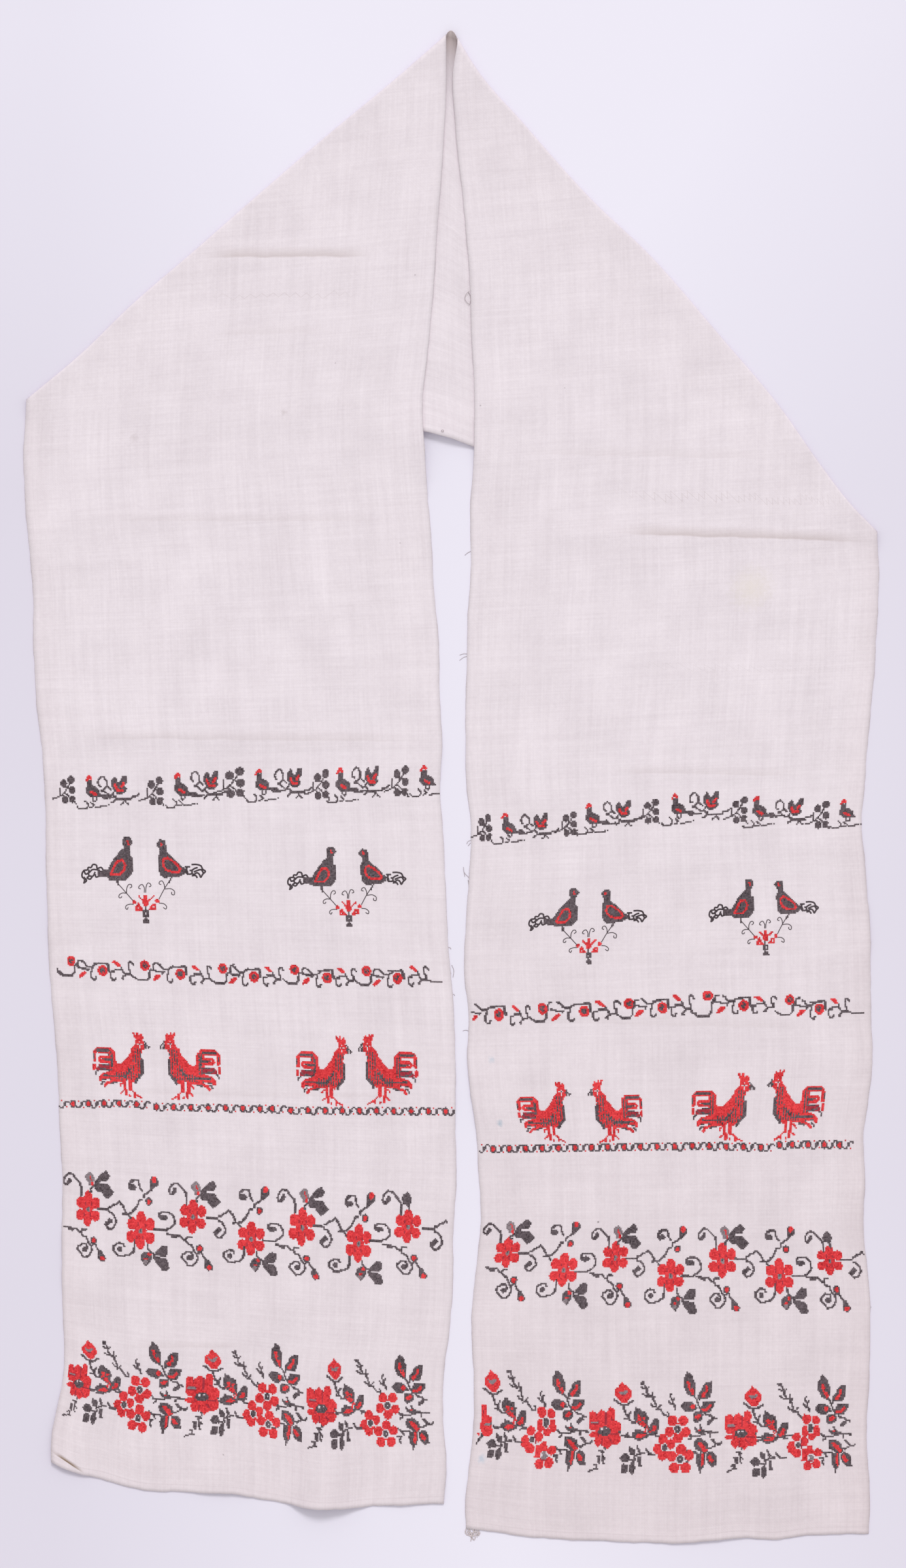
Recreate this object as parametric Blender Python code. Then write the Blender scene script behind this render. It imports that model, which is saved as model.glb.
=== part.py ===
"""Ritual towel: one long strip of hand-woven linen, folded at its middle and laid out face up.

The strip is folded over twice near its middle, along two slanting lines that meet at a peak. The two
embroidered ends hang down side by side from there as bands, with a narrow open slit between them. The
middle of the strip is a triangle behind the bands, shown only in the top of the slit.

Tables are in millimetres: x to the right and up along the towel, from the middle of the laid shape.
The model is in metres, +Z up out of the surface that the towel lies on, +Y towards the peak.
"""
from collections import namedtuple
from math import pi

import bpy
import numpy as np

MM = 0.001

NAME = "linen_cloth"
LINEN_COLOUR = (0.80, 0.73, 0.75, 1.0)
LINEN_ROUGHNESS = 0.9

# Driving sizes of the cloth; each end is turned over twice as a narrow hem
THICKNESS = 1.0 * MM
LAYER_GAP = 0.6 * MM
HEM_WIDTH = 7.0 * MM
HEM_STEP = 1.0 * MM
HEM_EXTRA = 0.7 * MM

# The folds are soft rolls, plumper at the peak, where the selvedge stands up in a loop
ROLL_RISE = 1.6 * MM
ROLL_FADE = 18.0 * MM
PEAK_RISE = 4.0 * MM
PEAK_FADE = 62.0 * MM
PEAK_ARCH = 8.0 * MM

# Past the back triangle's lower selvedge the bands come down to the surface
STEP_START = 3.0 * MM
STEP_REACH = 25.0 * MM

# How far up from the hem, or down from the fold, an uneven edge still shows
HEM_FADE = 110.0 * MM
FOLD_FADE = 80.0 * MM

# Low swells of cloth that was never quite pressed
SWELL_HEIGHT = 1.1 * MM
SWELL_THRESHOLD = 0.45

# Mesh density
COLUMNS = 16
BAND_ROWS = 70
ROLL_ROWS = 6
BACK_ROWS = 18

Section = namedtuple("Section", "up outer inner")
Band = namedtuple("Band", "sections corner hem")
HemPoint = namedtuple("HemPoint", "across drop")
BasePoint = namedtuple("BasePoint", "x up")
Crease = namedtuple("Crease", "x0 up0 x1 up1 height half_width")
HemWave = namedtuple("HemWave", "x left right height fade")
Lift = namedtuple("Lift", "x up height reach")


def rows(kind, table):
    """Give each row of a table its column names."""
    return [kind(*row) for row in table]


# Each band from hem to peak: outer edge and inner selvedge at each height. The outer edge is the outer
# selvedge up to the fold's corner, and the slanting fold above it.
LEFT_SECTIONS = rows(Section, (
    (-708, -394, -7),
    (-667, -394, -5),
    (-641, -394, -7),
    (-609, -388, -8),
    (-573, -382, -7),
    (-541, -382, -2),
    (-506, -384, 1),
    (-448, -384, 2),
    (-383, -384, 5),
    (-319, -387, 4),
    (-254, -390, 4),
    (-203, -395, 1),
    (-138, -398, -4),
    (-61, -400, -7),
    (-3, -401, -11),
    (36, -404, -9),
    (81, -409, -11),
    (133, -412, -12),
    (197, -413, -17),
    (262, -419, -21),
    (326, -422, -26),
    (382, -419, -28),
    (431, -361, -23),
    (470, -321, -19),
    (530, -252, -15),
    (587, -187, -11),
    (642, -123, -7),
    (696, -58, -5),
    (742, -5, -5),
))
LEFT_CORNER = 21

RIGHT_SECTIONS = rows(Section, (
    (-738, 412, 15),
    (-706, 413, 14),
    (-667, 411, 18),
    (-635, 410, 22),
    (-590, 412, 22),
    (-506, 413, 21),
    (-473, 410, 25),
    (-435, 407, 29),
    (-383, 408, 27),
    (-344, 407, 25),
    (-312, 411, 20),
    (-267, 416, 16),
    (-228, 414, 17),
    (-183, 414, 13),
    (-138, 413, 14),
    (-86, 409, 18),
    (-35, 405, 19),
    (4, 408, 15),
    (55, 412, 14),
    (107, 417, 15),
    (159, 420, 16),
    (210, 422, 19),
    (252, 420, 19),
    (280, 393, 19),
    (322, 361, 22),
    (368, 329, 23),
    (446, 264, 20),
    (520, 200, 17),
    (583, 135, 11),
    (655, 71, 4),
    (713, 22, 2),
    (739, 6, 6),
))
RIGHT_CORNER = 22

# Each hem, as its drop below the straight line between its corners; across runs from 0 at the inner
# selvedge to 1 at the outer one
LEFT_HEM = rows(HemPoint, (
    (0.0, 0), (0.18, 10), (0.32, 18), (0.42, 16), (0.52, 13), (0.67, 16),
    (0.78, 18), (0.88, 11), (0.93, 9), (1.0, 0),
))
RIGHT_HEM = rows(HemPoint, (
    (0.0, 0), (0.16, 8), (0.35, 11), (0.57, 11), (0.68, 6), (0.76, 7), (0.86, 2), (1.0, 0),
))
LEFT_HEM_CORNERS = {"inner": -708, "outer": -667}
RIGHT_HEM_CORNERS = {"inner": -732, "outer": -738}

# The lower selvedge of the back triangle
BACK_BASE = rows(BasePoint, (
    (-419, 382), (-250, 372), (-110, 364), (-28, 354), (22, 338), (110, 320), (260, 286), (420, 252),
))

CREASES = rows(Crease, (
    (-239, 521, -131, 525, 1.5, 14),
    (-357, 264, -58, 264, 0.8, 15),
    (-397, 50, -10, 46, 1.2, 15),
    (-332, -553, -195, -551, 0.8, 15),
    (71, 250, 417, 242, 1.6, 15),
    (148, 16, 361, 12, 1.0, 15),
))

# Waves that stand up at a hem and die away up the band
HEM_WAVES = rows(HemWave, (
    (-131, 36, 56, 13.0, 120),
    (-226, 48, 48, 2.5, 80),
    (-384, 30, 42, 4.5, 50),
    (-52, 30, 30, 1.5, 60),
    (255, 75, 60, 2.0, 70),
))

# Where the back triangle's slack selvedge stands off the surface, in the slit
BACK_LIFT = Lift(-18, 352, 3.0, 62)


def columns_of(table, *names):
    """Read named columns of a table as arrays in metres."""
    return [np.array([getattr(row, name) for row in table], float) * MM for name in names]


def smooth_curve(stations, values, at):
    """Cubic through the given values, with each slope taken from the neighbouring points."""
    slopes = np.gradient(values, stations)
    last = len(stations) - 2
    index = np.clip(np.searchsorted(stations, at, side="right") - 1, 0, last)
    step = stations[index + 1] - stations[index]
    t = np.clip((at - stations[index]) / step, 0.0, 1.0)
    return ((2 * t**3 - 3 * t**2 + 1) * values[index]
            + (t**3 - 2 * t**2 + t) * step * slopes[index]
            + (3 * t**2 - 2 * t**3) * values[index + 1]
            + (t**3 - t**2) * step * slopes[index + 1])


def ease(t):
    """Rise from 0 to 1 with level ends."""
    t = np.clip(t, 0.0, 1.0)
    return t * t * (3 - 2 * t)


def mound(t):
    """A rounded mound, 1 at 0 and level with the ground from -1 and from 1 on."""
    return 0.5 + 0.5 * np.cos(pi * np.clip(t, -1.0, 1.0))


def blend(first, second, share):
    """Go from the first point to the second by a share that may be an array."""
    share = np.asarray(share)[..., None]
    return first * (1 - share) + second * share


LEFT = Band(LEFT_SECTIONS, LEFT_CORNER, (LEFT_HEM, LEFT_HEM_CORNERS))
RIGHT = Band(RIGHT_SECTIONS, RIGHT_CORNER, (RIGHT_HEM, RIGHT_HEM_CORNERS))


def inner_edge(band, up):
    """Points of the inner selvedge at the given heights."""
    ups, inner = columns_of(band.sections, "up", "inner")
    return np.stack([smooth_curve(ups, inner, up), up], axis=-1)


def outer_edge(band, up):
    """Points of the outer selvedge at the given heights, below the fold's corner."""
    ups, outer = columns_of(band.sections[:band.corner + 1], "up", "outer")
    return np.stack([smooth_curve(ups, outer, up), up], axis=-1)


def fold_ends(band):
    """The fold's upper end at the peak, and its lower end at the corner."""
    peak, corner = band.sections[-1], band.sections[band.corner]
    return np.array([peak.outer, peak.up]) * MM, np.array([corner.outer, corner.up]) * MM


def fold_outward(band):
    """Unit direction in the plan, square to the fold and away from the cloth."""
    peak, corner = fold_ends(band)
    along = (corner - peak) / np.linalg.norm(corner - peak)
    square = np.array([-along[1], along[0]])
    return square if square[1] > 0 else -square


def fold_depth(band, plan):
    """Distance of each plan point from the fold's line, on the cloth's side."""
    peak, _ = fold_ends(band)
    return -(plan - peak) @ fold_outward(band)


def back_height(plan):
    """Height of the middle of the back triangle's cloth."""
    centre = np.array([BACK_LIFT.x, BACK_LIFT.up]) * MM
    distance = np.linalg.norm(plan - centre, axis=-1) / (BACK_LIFT.reach * MM)
    return THICKNESS / 2 + BACK_LIFT.height * MM * mound(distance)


def cover(plan):
    """1 where a band lies on the back triangle, easing to 0 where it has come down past it."""
    xs, ups = columns_of(BACK_BASE, "x", "up")
    below = smooth_curve(xs, ups, plan[..., 0]) - plan[..., 1]
    return 1 - ease((below - STEP_START) / STEP_REACH)


def lay_rise(band, plan):
    """How far a band's cloth is above the back triangle's, from layers, soft rolls and the peak."""
    peak, _ = fold_ends(band)
    roll = np.exp(-(fold_depth(band, plan) / ROLL_FADE) ** 2)
    near_peak = np.exp(-(np.linalg.norm(plan - peak, axis=-1) / PEAK_FADE) ** 2)
    return THICKNESS + LAYER_GAP + ROLL_RISE * roll + PEAK_RISE * near_peak


def creases(plan):
    """Soft ridges left by old pressed folds, each fading out at its ends."""
    height = np.zeros(plan.shape[:-1])
    for crease in CREASES:
        x0, x1, half = crease.x0 * MM, crease.x1 * MM, crease.half_width * MM
        along = (plan[..., 0] - x0) / (x1 - x0)
        line = (crease.up0 + (crease.up1 - crease.up0) * np.clip(along, 0, 1)) * MM
        ends = ease(along / 0.2) * ease((1 - along) / 0.2)
        height += crease.height * MM * ends * mound((plan[..., 1] - line) / half)
    return height


def hem_waves(plan, above_hem):
    """Waves at the hems, each with a steeper and a gentler side."""
    height = np.zeros(plan.shape[:-1])
    for wave in HEM_WAVES:
        offset = plan[..., 0] - wave.x * MM
        reach = np.where(offset < 0, wave.left, wave.right) * MM
        height += wave.height * MM * mound(offset / reach) * np.exp(-(above_hem / (wave.fade * MM)) ** 2)
    return np.where(height > 0.05 * MM, height, 0.0)


def swells(plan):
    """Wide low swells, the tops of three crossing ripples, level with the surface elsewhere."""
    x, y = plan[..., 0], plan[..., 1]
    ripple = (np.sin(x / 0.041 + 1.1) * np.sin(y / 0.058 + 0.4)
              + 0.6 * np.sin((x + 0.7 * y) / 0.027 + 2.0)
              + 0.4 * np.sin((y - 0.4 * x) / 0.019))
    return SWELL_HEIGHT * np.clip(ripple - SWELL_THRESHOLD, 0.0, 1.0) ** 2


def front_height(band, plan, above_hem):
    """Height of the middle of a band's cloth."""
    covered = cover(plan)
    on_back = covered * (lay_rise(band, plan) + back_height(plan) - THICKNESS / 2)
    uneven = creases(plan) + hem_waves(plan, above_hem) + (1 - covered) * swells(plan)
    return THICKNESS / 2 + on_back + uneven


def fold_line(band, across):
    """Plan points where the flat cloth meets the roll, which stands out to the towel's edge."""
    peak, corner = fold_ends(band)
    xs, ups = columns_of(band.sections[band.corner:], "outer", "up")
    order = np.argsort(xs)
    x = peak[0] + (corner[0] - peak[0]) * across
    line = np.stack([x, smooth_curve(xs[order], ups[order], x)], axis=-1)
    radius = (lay_rise(band, line) + THICKNESS) / 2
    return line - fold_outward(band) * radius[:, None]


def inner_length_of(band):
    """Length of a band's inner selvedge, from its hem to the peak."""
    _, hem_corners = band.hem
    return fold_ends(band)[0][1] - hem_corners["inner"] * MM


def row_stations(band):
    """Distance of each row above the hem along the inner selvedge, with two rows for the hem's step."""
    even = np.linspace(0, inner_length_of(band), BAND_ROWS + 1)
    return np.concatenate([[0, HEM_WIDTH, HEM_WIDTH + HEM_STEP], even[1:]])


def band_surface(band):
    """Middle surface of a band from hem to fold: rows swing from the hem's line to the fold's."""
    across = np.linspace(0, 1, COLUMNS + 1)
    above_hem = row_stations(band)
    hem_points, hem_corners = band.hem
    _, corner = fold_ends(band)
    inner_hem, outer_hem = hem_corners["inner"] * MM, hem_corners["outer"] * MM
    inner_length, outer_length = inner_length_of(band), corner[1] - outer_hem
    share = above_hem / inner_length
    rate = inner_length / outer_length
    inner = inner_edge(band, inner_hem + above_hem)
    outer = outer_edge(band, outer_hem + outer_length * (rate * share + (1 - rate) * share**2))
    plan = blend(inner[:, None, :], outer[:, None, :], across[None, :])

    stations, drops = columns_of(hem_points, "across", "drop")
    drop = smooth_curve(stations / MM, drops, across)
    plan[..., 1] -= drop[None, :] * np.exp(-(above_hem / HEM_FADE) ** 2)[:, None]

    shift = fold_line(band, across) - plan[-1]
    near_fold = np.exp(-((inner_length - above_hem) / FOLD_FADE) ** 2)
    plan += shift[None, :, :] * near_fold[:, None, None]

    height = front_height(band, plan, above_hem[:, None] * np.ones_like(across))
    return np.concatenate([plan, height[..., None]], axis=-1)


def roll_surface(band):
    """Half turn of the cloth about the fold, from the band's last row down to the back."""
    across = np.linspace(0, 1, COLUMNS + 1)
    line = fold_line(band, across)
    top = band_surface(band)[-1, :, 2]
    bottom = back_height(line)
    radius = (top - bottom) / 2
    turn = np.linspace(0, pi, ROLL_ROWS + 1)[:, None]
    plan = line[None] + fold_outward(band) * (radius * np.sin(turn))[..., None]
    height = bottom + radius + radius * np.cos(turn)
    return np.concatenate([plan, height[..., None]], axis=-1)


def back_surface():
    """Back triangle: rows fan about the peak from the left fold to the right one."""
    across = np.linspace(0, 1, COLUMNS + 1)
    turn = np.linspace(0, 1, BACK_ROWS + 1)
    first, last = fold_line(LEFT, across), fold_line(RIGHT, across)
    top = blend(first[0], last[0], turn)
    top[:, 1] += PEAK_ARCH * np.sin(pi * turn)
    xs, ups = columns_of(BACK_BASE, "x", "up")
    base_x = first[-1, 0] + (last[-1, 0] - first[-1, 0]) * turn
    base = np.stack([base_x, smooth_curve(xs, ups, base_x)], axis=-1)
    base += blend(first[-1] - base[0], last[-1] - base[-1], turn)
    plan = blend(top[:, None, :], base[:, None, :], across[None, :])

    straight_first = blend(first[0], first[-1], across)
    straight_last = blend(last[0], last[-1], across)
    plan += (first - straight_first)[None] * ((1 - turn) ** 3)[:, None, None]
    plan += (last - straight_last)[None] * (turn ** 3)[:, None, None]
    return np.concatenate([plan, back_height(plan)[..., None]], axis=-1)


def strip_surface():
    """The whole strip's middle surface, from the left hem round both folds to the right hem."""
    left_roll, right_roll = roll_surface(LEFT), roll_surface(RIGHT)
    return np.concatenate([
        band_surface(LEFT)[:-1],
        left_roll[:-1],
        back_surface(),
        right_roll[::-1][1:],
        band_surface(RIGHT)[::-1][1:],
    ])


def hem_thickness():
    """Extra thickness of each row of the strip: the turned hem at both ends, and none between."""
    left, right = (np.where(row_stations(band) <= HEM_WIDTH, HEM_EXTRA, 0.0) for band in (LEFT, RIGHT))
    between = np.zeros(len(strip_surface()) - len(left) - len(right))
    return np.concatenate([left, between, right[::-1]])


def surface_normals(grid):
    """Unit normals of the grid, pointing up out of the bands' face."""
    along = np.gradient(grid, axis=0)
    across = np.gradient(grid, axis=1)
    normal = np.cross(along, across)
    return normal / np.linalg.norm(normal, axis=-1, keepdims=True)


def thicken(grid):
    """Face and reverse of the cloth as point lists, with quads that close its edges."""
    normals = surface_normals(grid)
    face_points = grid + normals * (THICKNESS / 2 + hem_thickness()[:, None, None])
    reverse_points = grid - normals * THICKNESS / 2
    points = np.concatenate([face_points.reshape(-1, 3), reverse_points.reshape(-1, 3)])
    points[:, 2] = np.maximum(points[:, 2], 0.0)
    count_rows, count_columns = grid.shape[:2]
    index = np.arange(count_rows * count_columns).reshape(count_rows, count_columns)
    under = index.size
    face = np.stack([index[:-1, :-1], index[1:, :-1], index[1:, 1:], index[:-1, 1:]], axis=-1).reshape(-1, 4)
    reverse = face[:, ::-1] + under
    rim = np.concatenate([index[:, 0], index[-1, 1:], index[-2::-1, -1], index[0, -2::-1]])
    edge = np.stack([rim[1:], rim[:-1], rim[:-1] + under, rim[1:] + under], axis=-1)
    return points, np.concatenate([face, reverse, edge])


def centred(points):
    """Move the plan's middle to the origin and the lowest point to the surface."""
    low, high = points.min(axis=0), points.max(axis=0)
    return points - np.array([(low[0] + high[0]) / 2, (low[1] + high[1]) / 2, low[2]])


def linen_material():
    """Unbleached linen that has aged to a pale rose grey."""
    material = bpy.data.materials.new("linen")
    material.use_nodes = True
    shader = material.node_tree.nodes["Principled BSDF"]
    shader.inputs["Base Color"].default_value = LINEN_COLOUR
    shader.inputs["Roughness"].default_value = LINEN_ROUGHNESS
    shader.inputs["Metallic"].default_value = 0.0
    return material


def build_cloth():
    """Make the towel's one piece."""
    points, faces = thicken(strip_surface())
    mesh = bpy.data.meshes.new(NAME)
    mesh.from_pydata(centred(points).tolist(), [], faces.tolist())
    mesh.validate()
    mesh.shade_smooth()
    mesh.set_sharp_from_angle(angle=pi / 4)
    mesh.materials.append(linen_material())
    cloth = bpy.data.objects.new(NAME, mesh)
    bpy.context.scene.collection.objects.link(cloth)
    return cloth


for old in list(bpy.data.objects):
    bpy.data.objects.remove(old, do_unlink=True)

build_cloth()
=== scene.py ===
"""Embroidered linen ritual towel, folded over a peak and laid out face up in soft light.

The towel is one strip of hand-woven linen. Both ends carry seven rows of red and black cross-stitch. The tables of
its shape are in millimetres, x to the right and up along the towel. Charts and places on them are counted in chart
threads, to the right and down. A chart thread is 0.645 mm, which is one pixel of the photograph.
"""
import logging
from dataclasses import dataclass, field
from enum import Enum, IntEnum
from functools import partial
from math import pi
from typing import Any, Sequence

import bpy
import numpy as np
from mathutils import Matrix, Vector


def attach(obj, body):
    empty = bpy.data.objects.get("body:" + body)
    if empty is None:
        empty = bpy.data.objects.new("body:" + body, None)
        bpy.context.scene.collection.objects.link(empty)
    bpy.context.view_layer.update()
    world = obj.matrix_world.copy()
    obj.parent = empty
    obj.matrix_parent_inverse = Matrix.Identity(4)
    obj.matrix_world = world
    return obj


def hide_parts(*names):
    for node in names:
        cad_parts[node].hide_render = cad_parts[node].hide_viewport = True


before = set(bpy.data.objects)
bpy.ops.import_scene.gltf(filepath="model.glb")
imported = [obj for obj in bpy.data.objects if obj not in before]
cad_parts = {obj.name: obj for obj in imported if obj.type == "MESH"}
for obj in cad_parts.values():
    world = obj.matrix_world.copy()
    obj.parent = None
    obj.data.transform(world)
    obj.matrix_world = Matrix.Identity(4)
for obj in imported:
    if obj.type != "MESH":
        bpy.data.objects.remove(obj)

MM = 0.001
CLOTH_NODE = "linen_cloth"
BODY = "root"
CLOTH_WIDTH = 0.40
LOG = logging.getLogger("towel")
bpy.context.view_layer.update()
Socket = bpy.types.NodeSocket


# ---- colours, nodes and meshes ----

def linear(colour: str) -> tuple[float, float, float, float]:
    """Turn an sRGB hex colour into the linear one that a shader takes.

    Args:
        colour: six hex digits, such as "e8dee2".

    Returns:
        Linear red, green and blue, with full alpha.
    """
    parts = [int(colour[i:i + 2], 16) / 255 for i in (0, 2, 4)]
    return tuple(c / 12.92 if c <= 0.04045 else ((c + 0.055) / 1.055) ** 2.4 for c in parts) + (1.0,)


def add_node(tree: bpy.types.NodeTree, kind: str, inputs: dict | None = None, output: int | str = 0,
             **settings: Any) -> Socket:
    """Add a node with its settings and inputs.

    Args:
        tree: the material's node tree.
        kind: the node's type name.
        inputs: socket name or number to a constant value or to the output socket that feeds it.
        output: which output to return.
        settings: the node's own properties.

    Returns:
        The chosen output socket.
    """
    node = tree.nodes.new(kind)
    for name, value in settings.items():
        setattr(node, name, value)
    for socket, value in (inputs or {}).items():
        if isinstance(value, Socket):
            tree.links.new(value, node.inputs[socket])
        else:
            node.inputs[socket].default_value = value
    return node.outputs[output]


class Shading:
    """A new material with its shader, and short ways to add the nodes that are used most."""

    def __init__(self, name: str) -> None:
        """Make the material, named for what the real one is."""
        self.material = bpy.data.materials.new(name)
        self.material.use_nodes = True
        self.tree = self.material.node_tree
        self.add = partial(add_node, self.tree)

    def place(self) -> Socket:
        """Object coordinates."""
        return self.add("ShaderNodeTexCoord", output="Object")

    def stored(self, name: str) -> Socket:
        """A number that is stored in the mesh."""
        return self.add("ShaderNodeAttribute", output="Fac", attribute_name=name)

    def noise(self, where: Socket, scale: float, detail: float = 2.0, roughness: float = 0.5) -> Socket:
        """Noise from 0 to 1."""
        return self.add("ShaderNodeTexNoise", {"Vector": where, "Scale": scale, "Detail": detail,
                                               "Roughness": roughness})

    def calc(self, operation: str, *values: Any, clamp: bool = False) -> Socket:
        """Work out one operation on up to three numbers or sockets."""
        return self.add("ShaderNodeMath", dict(enumerate(values)), operation=operation, use_clamp=clamp)

    def ramp(self, value: Any, start: float, stop: float, first: float = 0.0, last: float = 1.0) -> Socket:
        """Go from the first number to the last one while the value goes from start to stop."""
        return self.add("ShaderNodeMapRange", {"Value": value, "From Min": start, "From Max": stop,
                                               "To Min": first, "To Max": last})

    def mix(self, share: Any, first: Any, second: Any, **settings: Any) -> Socket:
        """Go from the first colour to the second one by a share."""
        return self.add("ShaderNodeMix", {"Factor": share, "A": first, "B": second}, "Result", data_type="RGBA",
                        **settings)

    def finish(self, colour: Socket, roughness: float, specular: float,
               bump: Socket | None = None) -> bpy.types.Material:
        """Link the colour and the relief to the shader and set its own values.

        Args:
            colour: what gives the base colour.
            roughness: the shader's roughness.
            specular: its specular level.
            bump: what gives the normal.

        Returns:
            The material.
        """
        shader = self.tree.nodes["Principled BSDF"]
        self.tree.links.new(colour, shader.inputs["Base Color"])
        if bump is not None:
            self.tree.links.new(bump, shader.inputs["Normal"])
        shader.inputs["Roughness"].default_value = roughness
        shader.inputs["Specular IOR Level"].default_value = specular
        return self.material


def make_piece(name: str, points: np.ndarray, faces: np.ndarray, materials: Sequence[bpy.types.Material],
               slots: np.ndarray | None = None, uv: np.ndarray | None = None,
               numbers: dict[str, np.ndarray] | None = None,
               flat_faces: np.ndarray | None = None) -> bpy.types.Object:
    """Put arrays of points and faces, all with the same count of corners, into a mesh object at the origin.

    Args:
        name: the piece's name.
        points: one row of x, y, z for each vertex.
        faces: one row of vertex numbers for each face.
        materials: the piece's materials.
        slots: each face's material number.
        uv: flat cloth coordinates of each face corner, in metres.
        numbers: attribute name to one number for each vertex.
        flat_faces: True for each face that meets the next ones at a sharp edge.

    Returns:
        The object, linked to the scene.
    """
    mesh = bpy.data.meshes.new(name)
    mesh.vertices.add(len(points))
    mesh.vertices.foreach_set("co", points.astype(np.float32).ravel())
    mesh.loops.add(faces.size)
    mesh.loops.foreach_set("vertex_index", faces.astype(np.int32).ravel())
    mesh.polygons.add(len(faces))
    mesh.polygons.foreach_set("loop_start", np.arange(0, faces.size, faces.shape[1], dtype=np.int32))
    mesh.polygons.foreach_set("use_smooth", np.ones(len(faces), bool) if flat_faces is None else ~flat_faces)
    for material in materials:
        mesh.materials.append(material)
    if slots is not None:
        mesh.polygons.foreach_set("material_index", slots.astype(np.int32))
    if uv is not None:
        mesh.uv_layers.new(name="flat").data.foreach_set("uv", uv.astype(np.float32).ravel())
    for attribute, values in (numbers or {}).items():
        mesh.attributes.new(attribute, "FLOAT", "POINT").data.foreach_set("value", values.astype(np.float32))
    mesh.update(calc_edges=True)
    piece = bpy.data.objects.new(name, mesh)
    bpy.context.scene.collection.objects.link(piece)
    return piece


@dataclass
class Joined:
    """Meshes that are gathered into one, with each face's material and each point's shade of thread."""

    points: list[np.ndarray] = field(default_factory=list)
    faces: list[np.ndarray] = field(default_factory=list)
    slots: list[np.ndarray] = field(default_factory=list)
    shades: list[np.ndarray] = field(default_factory=list)
    total: int = 0

    def add(self, points: np.ndarray, faces: np.ndarray, slots: np.ndarray | int,
            shades: np.ndarray | float) -> None:
        """Add a mesh.

        Args:
            points: its points.
            faces: its faces, counted from its own first point.
            slots: the material of each face, or of all.
            shades: the shade of each point, or of all.
        """
        self.points.append(points)
        self.faces.append(faces + self.total)
        self.slots.append(np.broadcast_to(slots, len(faces)))
        self.shades.append(np.broadcast_to(shades, len(points)))
        self.total += len(points)

    def piece(self, name: str, materials: Sequence[bpy.types.Material]) -> bpy.types.Object:
        """Make the joined piece, which rides on the towel's body.

        Args:
            name: the piece's name.
            materials: the materials that the faces' numbers mean.

        Returns:
            The piece.
        """
        piece = make_piece(name, np.concatenate(self.points), np.concatenate(self.faces), materials,
                           np.concatenate(self.slots), numbers={"shade": np.concatenate(self.shades)})
        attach(piece, BODY)
        return piece


# ---- curves and blends ----

def smooth_curve(stations: np.ndarray, values: np.ndarray, at: np.ndarray) -> np.ndarray:
    """Cubic through the given values, with each slope taken from the neighbouring points.

    Args:
        stations: rising positions of the values.
        values: the values there.
        at: where to read the curve.

    Returns:
        The curve's value at each place.
    """
    slopes = np.gradient(values, stations)
    index = np.clip(np.searchsorted(stations, at, side="right") - 1, 0, len(stations) - 2)
    step = stations[index + 1] - stations[index]
    t = np.clip((at - stations[index]) / step, 0.0, 1.0)
    return ((2 * t**3 - 3 * t**2 + 1) * values[index] + (t**3 - 2 * t**2 + t) * step * slopes[index]
            + (3 * t**2 - 2 * t**3) * values[index + 1] + (t**3 - t**2) * step * slopes[index + 1])


def ease(t: np.ndarray) -> np.ndarray:
    """Rise from 0 to 1 with level ends: three t squared less two t cubed."""
    t = np.clip(t, 0.0, 1.0)
    return t * t * (3 - 2 * t)


def mound(t: np.ndarray) -> np.ndarray:
    """A rounded mound, half of one plus the cosine of pi t: 1 at 0 and level from -1 and from 1 on."""
    return 0.5 + 0.5 * np.cos(pi * np.clip(t, -1.0, 1.0))


def blend(first: np.ndarray, second: np.ndarray, share: np.ndarray) -> np.ndarray:
    """Go from the first point to the second by a share that may be an array."""
    share = np.asarray(share)[..., None]
    return first * (1 - share) + second * share


def wander(at: np.ndarray, seed: int, wavelength: float) -> np.ndarray:
    """A smooth uneven line: four sines, each shorter and in step lower than the last, with seeded phases.

    Sine n is as long as the wavelength over n to the power 1.3, and its height is 1 over n.

    Args:
        at: positions along the line, in metres.
        seed: which line.
        wavelength: its longest wave, in metres.

    Returns:
        Values from about -1 to 1.
    """
    sines, spacing, usual_peak = 4, 1.3, 1.6
    draw = np.random.default_rng(seed)
    total = np.zeros_like(at)
    for order in range(1, sines + 1):
        total += np.sin(2 * pi * at * order**spacing / wavelength + draw.uniform(0, 2 * pi)) / order
    return total / usual_peak


def smooth_path(points: np.ndarray, count: int) -> np.ndarray:
    """Run a smooth curve through points.

    Args:
        points: the points, one a row.
        count: how many points the curve gets, at even steps along it.

    Returns:
        The curve's points.
    """
    reach = np.concatenate([[0.0], np.cumsum(np.linalg.norm(np.diff(points, axis=0), axis=1))])
    at = np.linspace(0, reach[-1], count)
    return np.stack([smooth_curve(reach, values, at) for values in points.T], axis=1)


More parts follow.
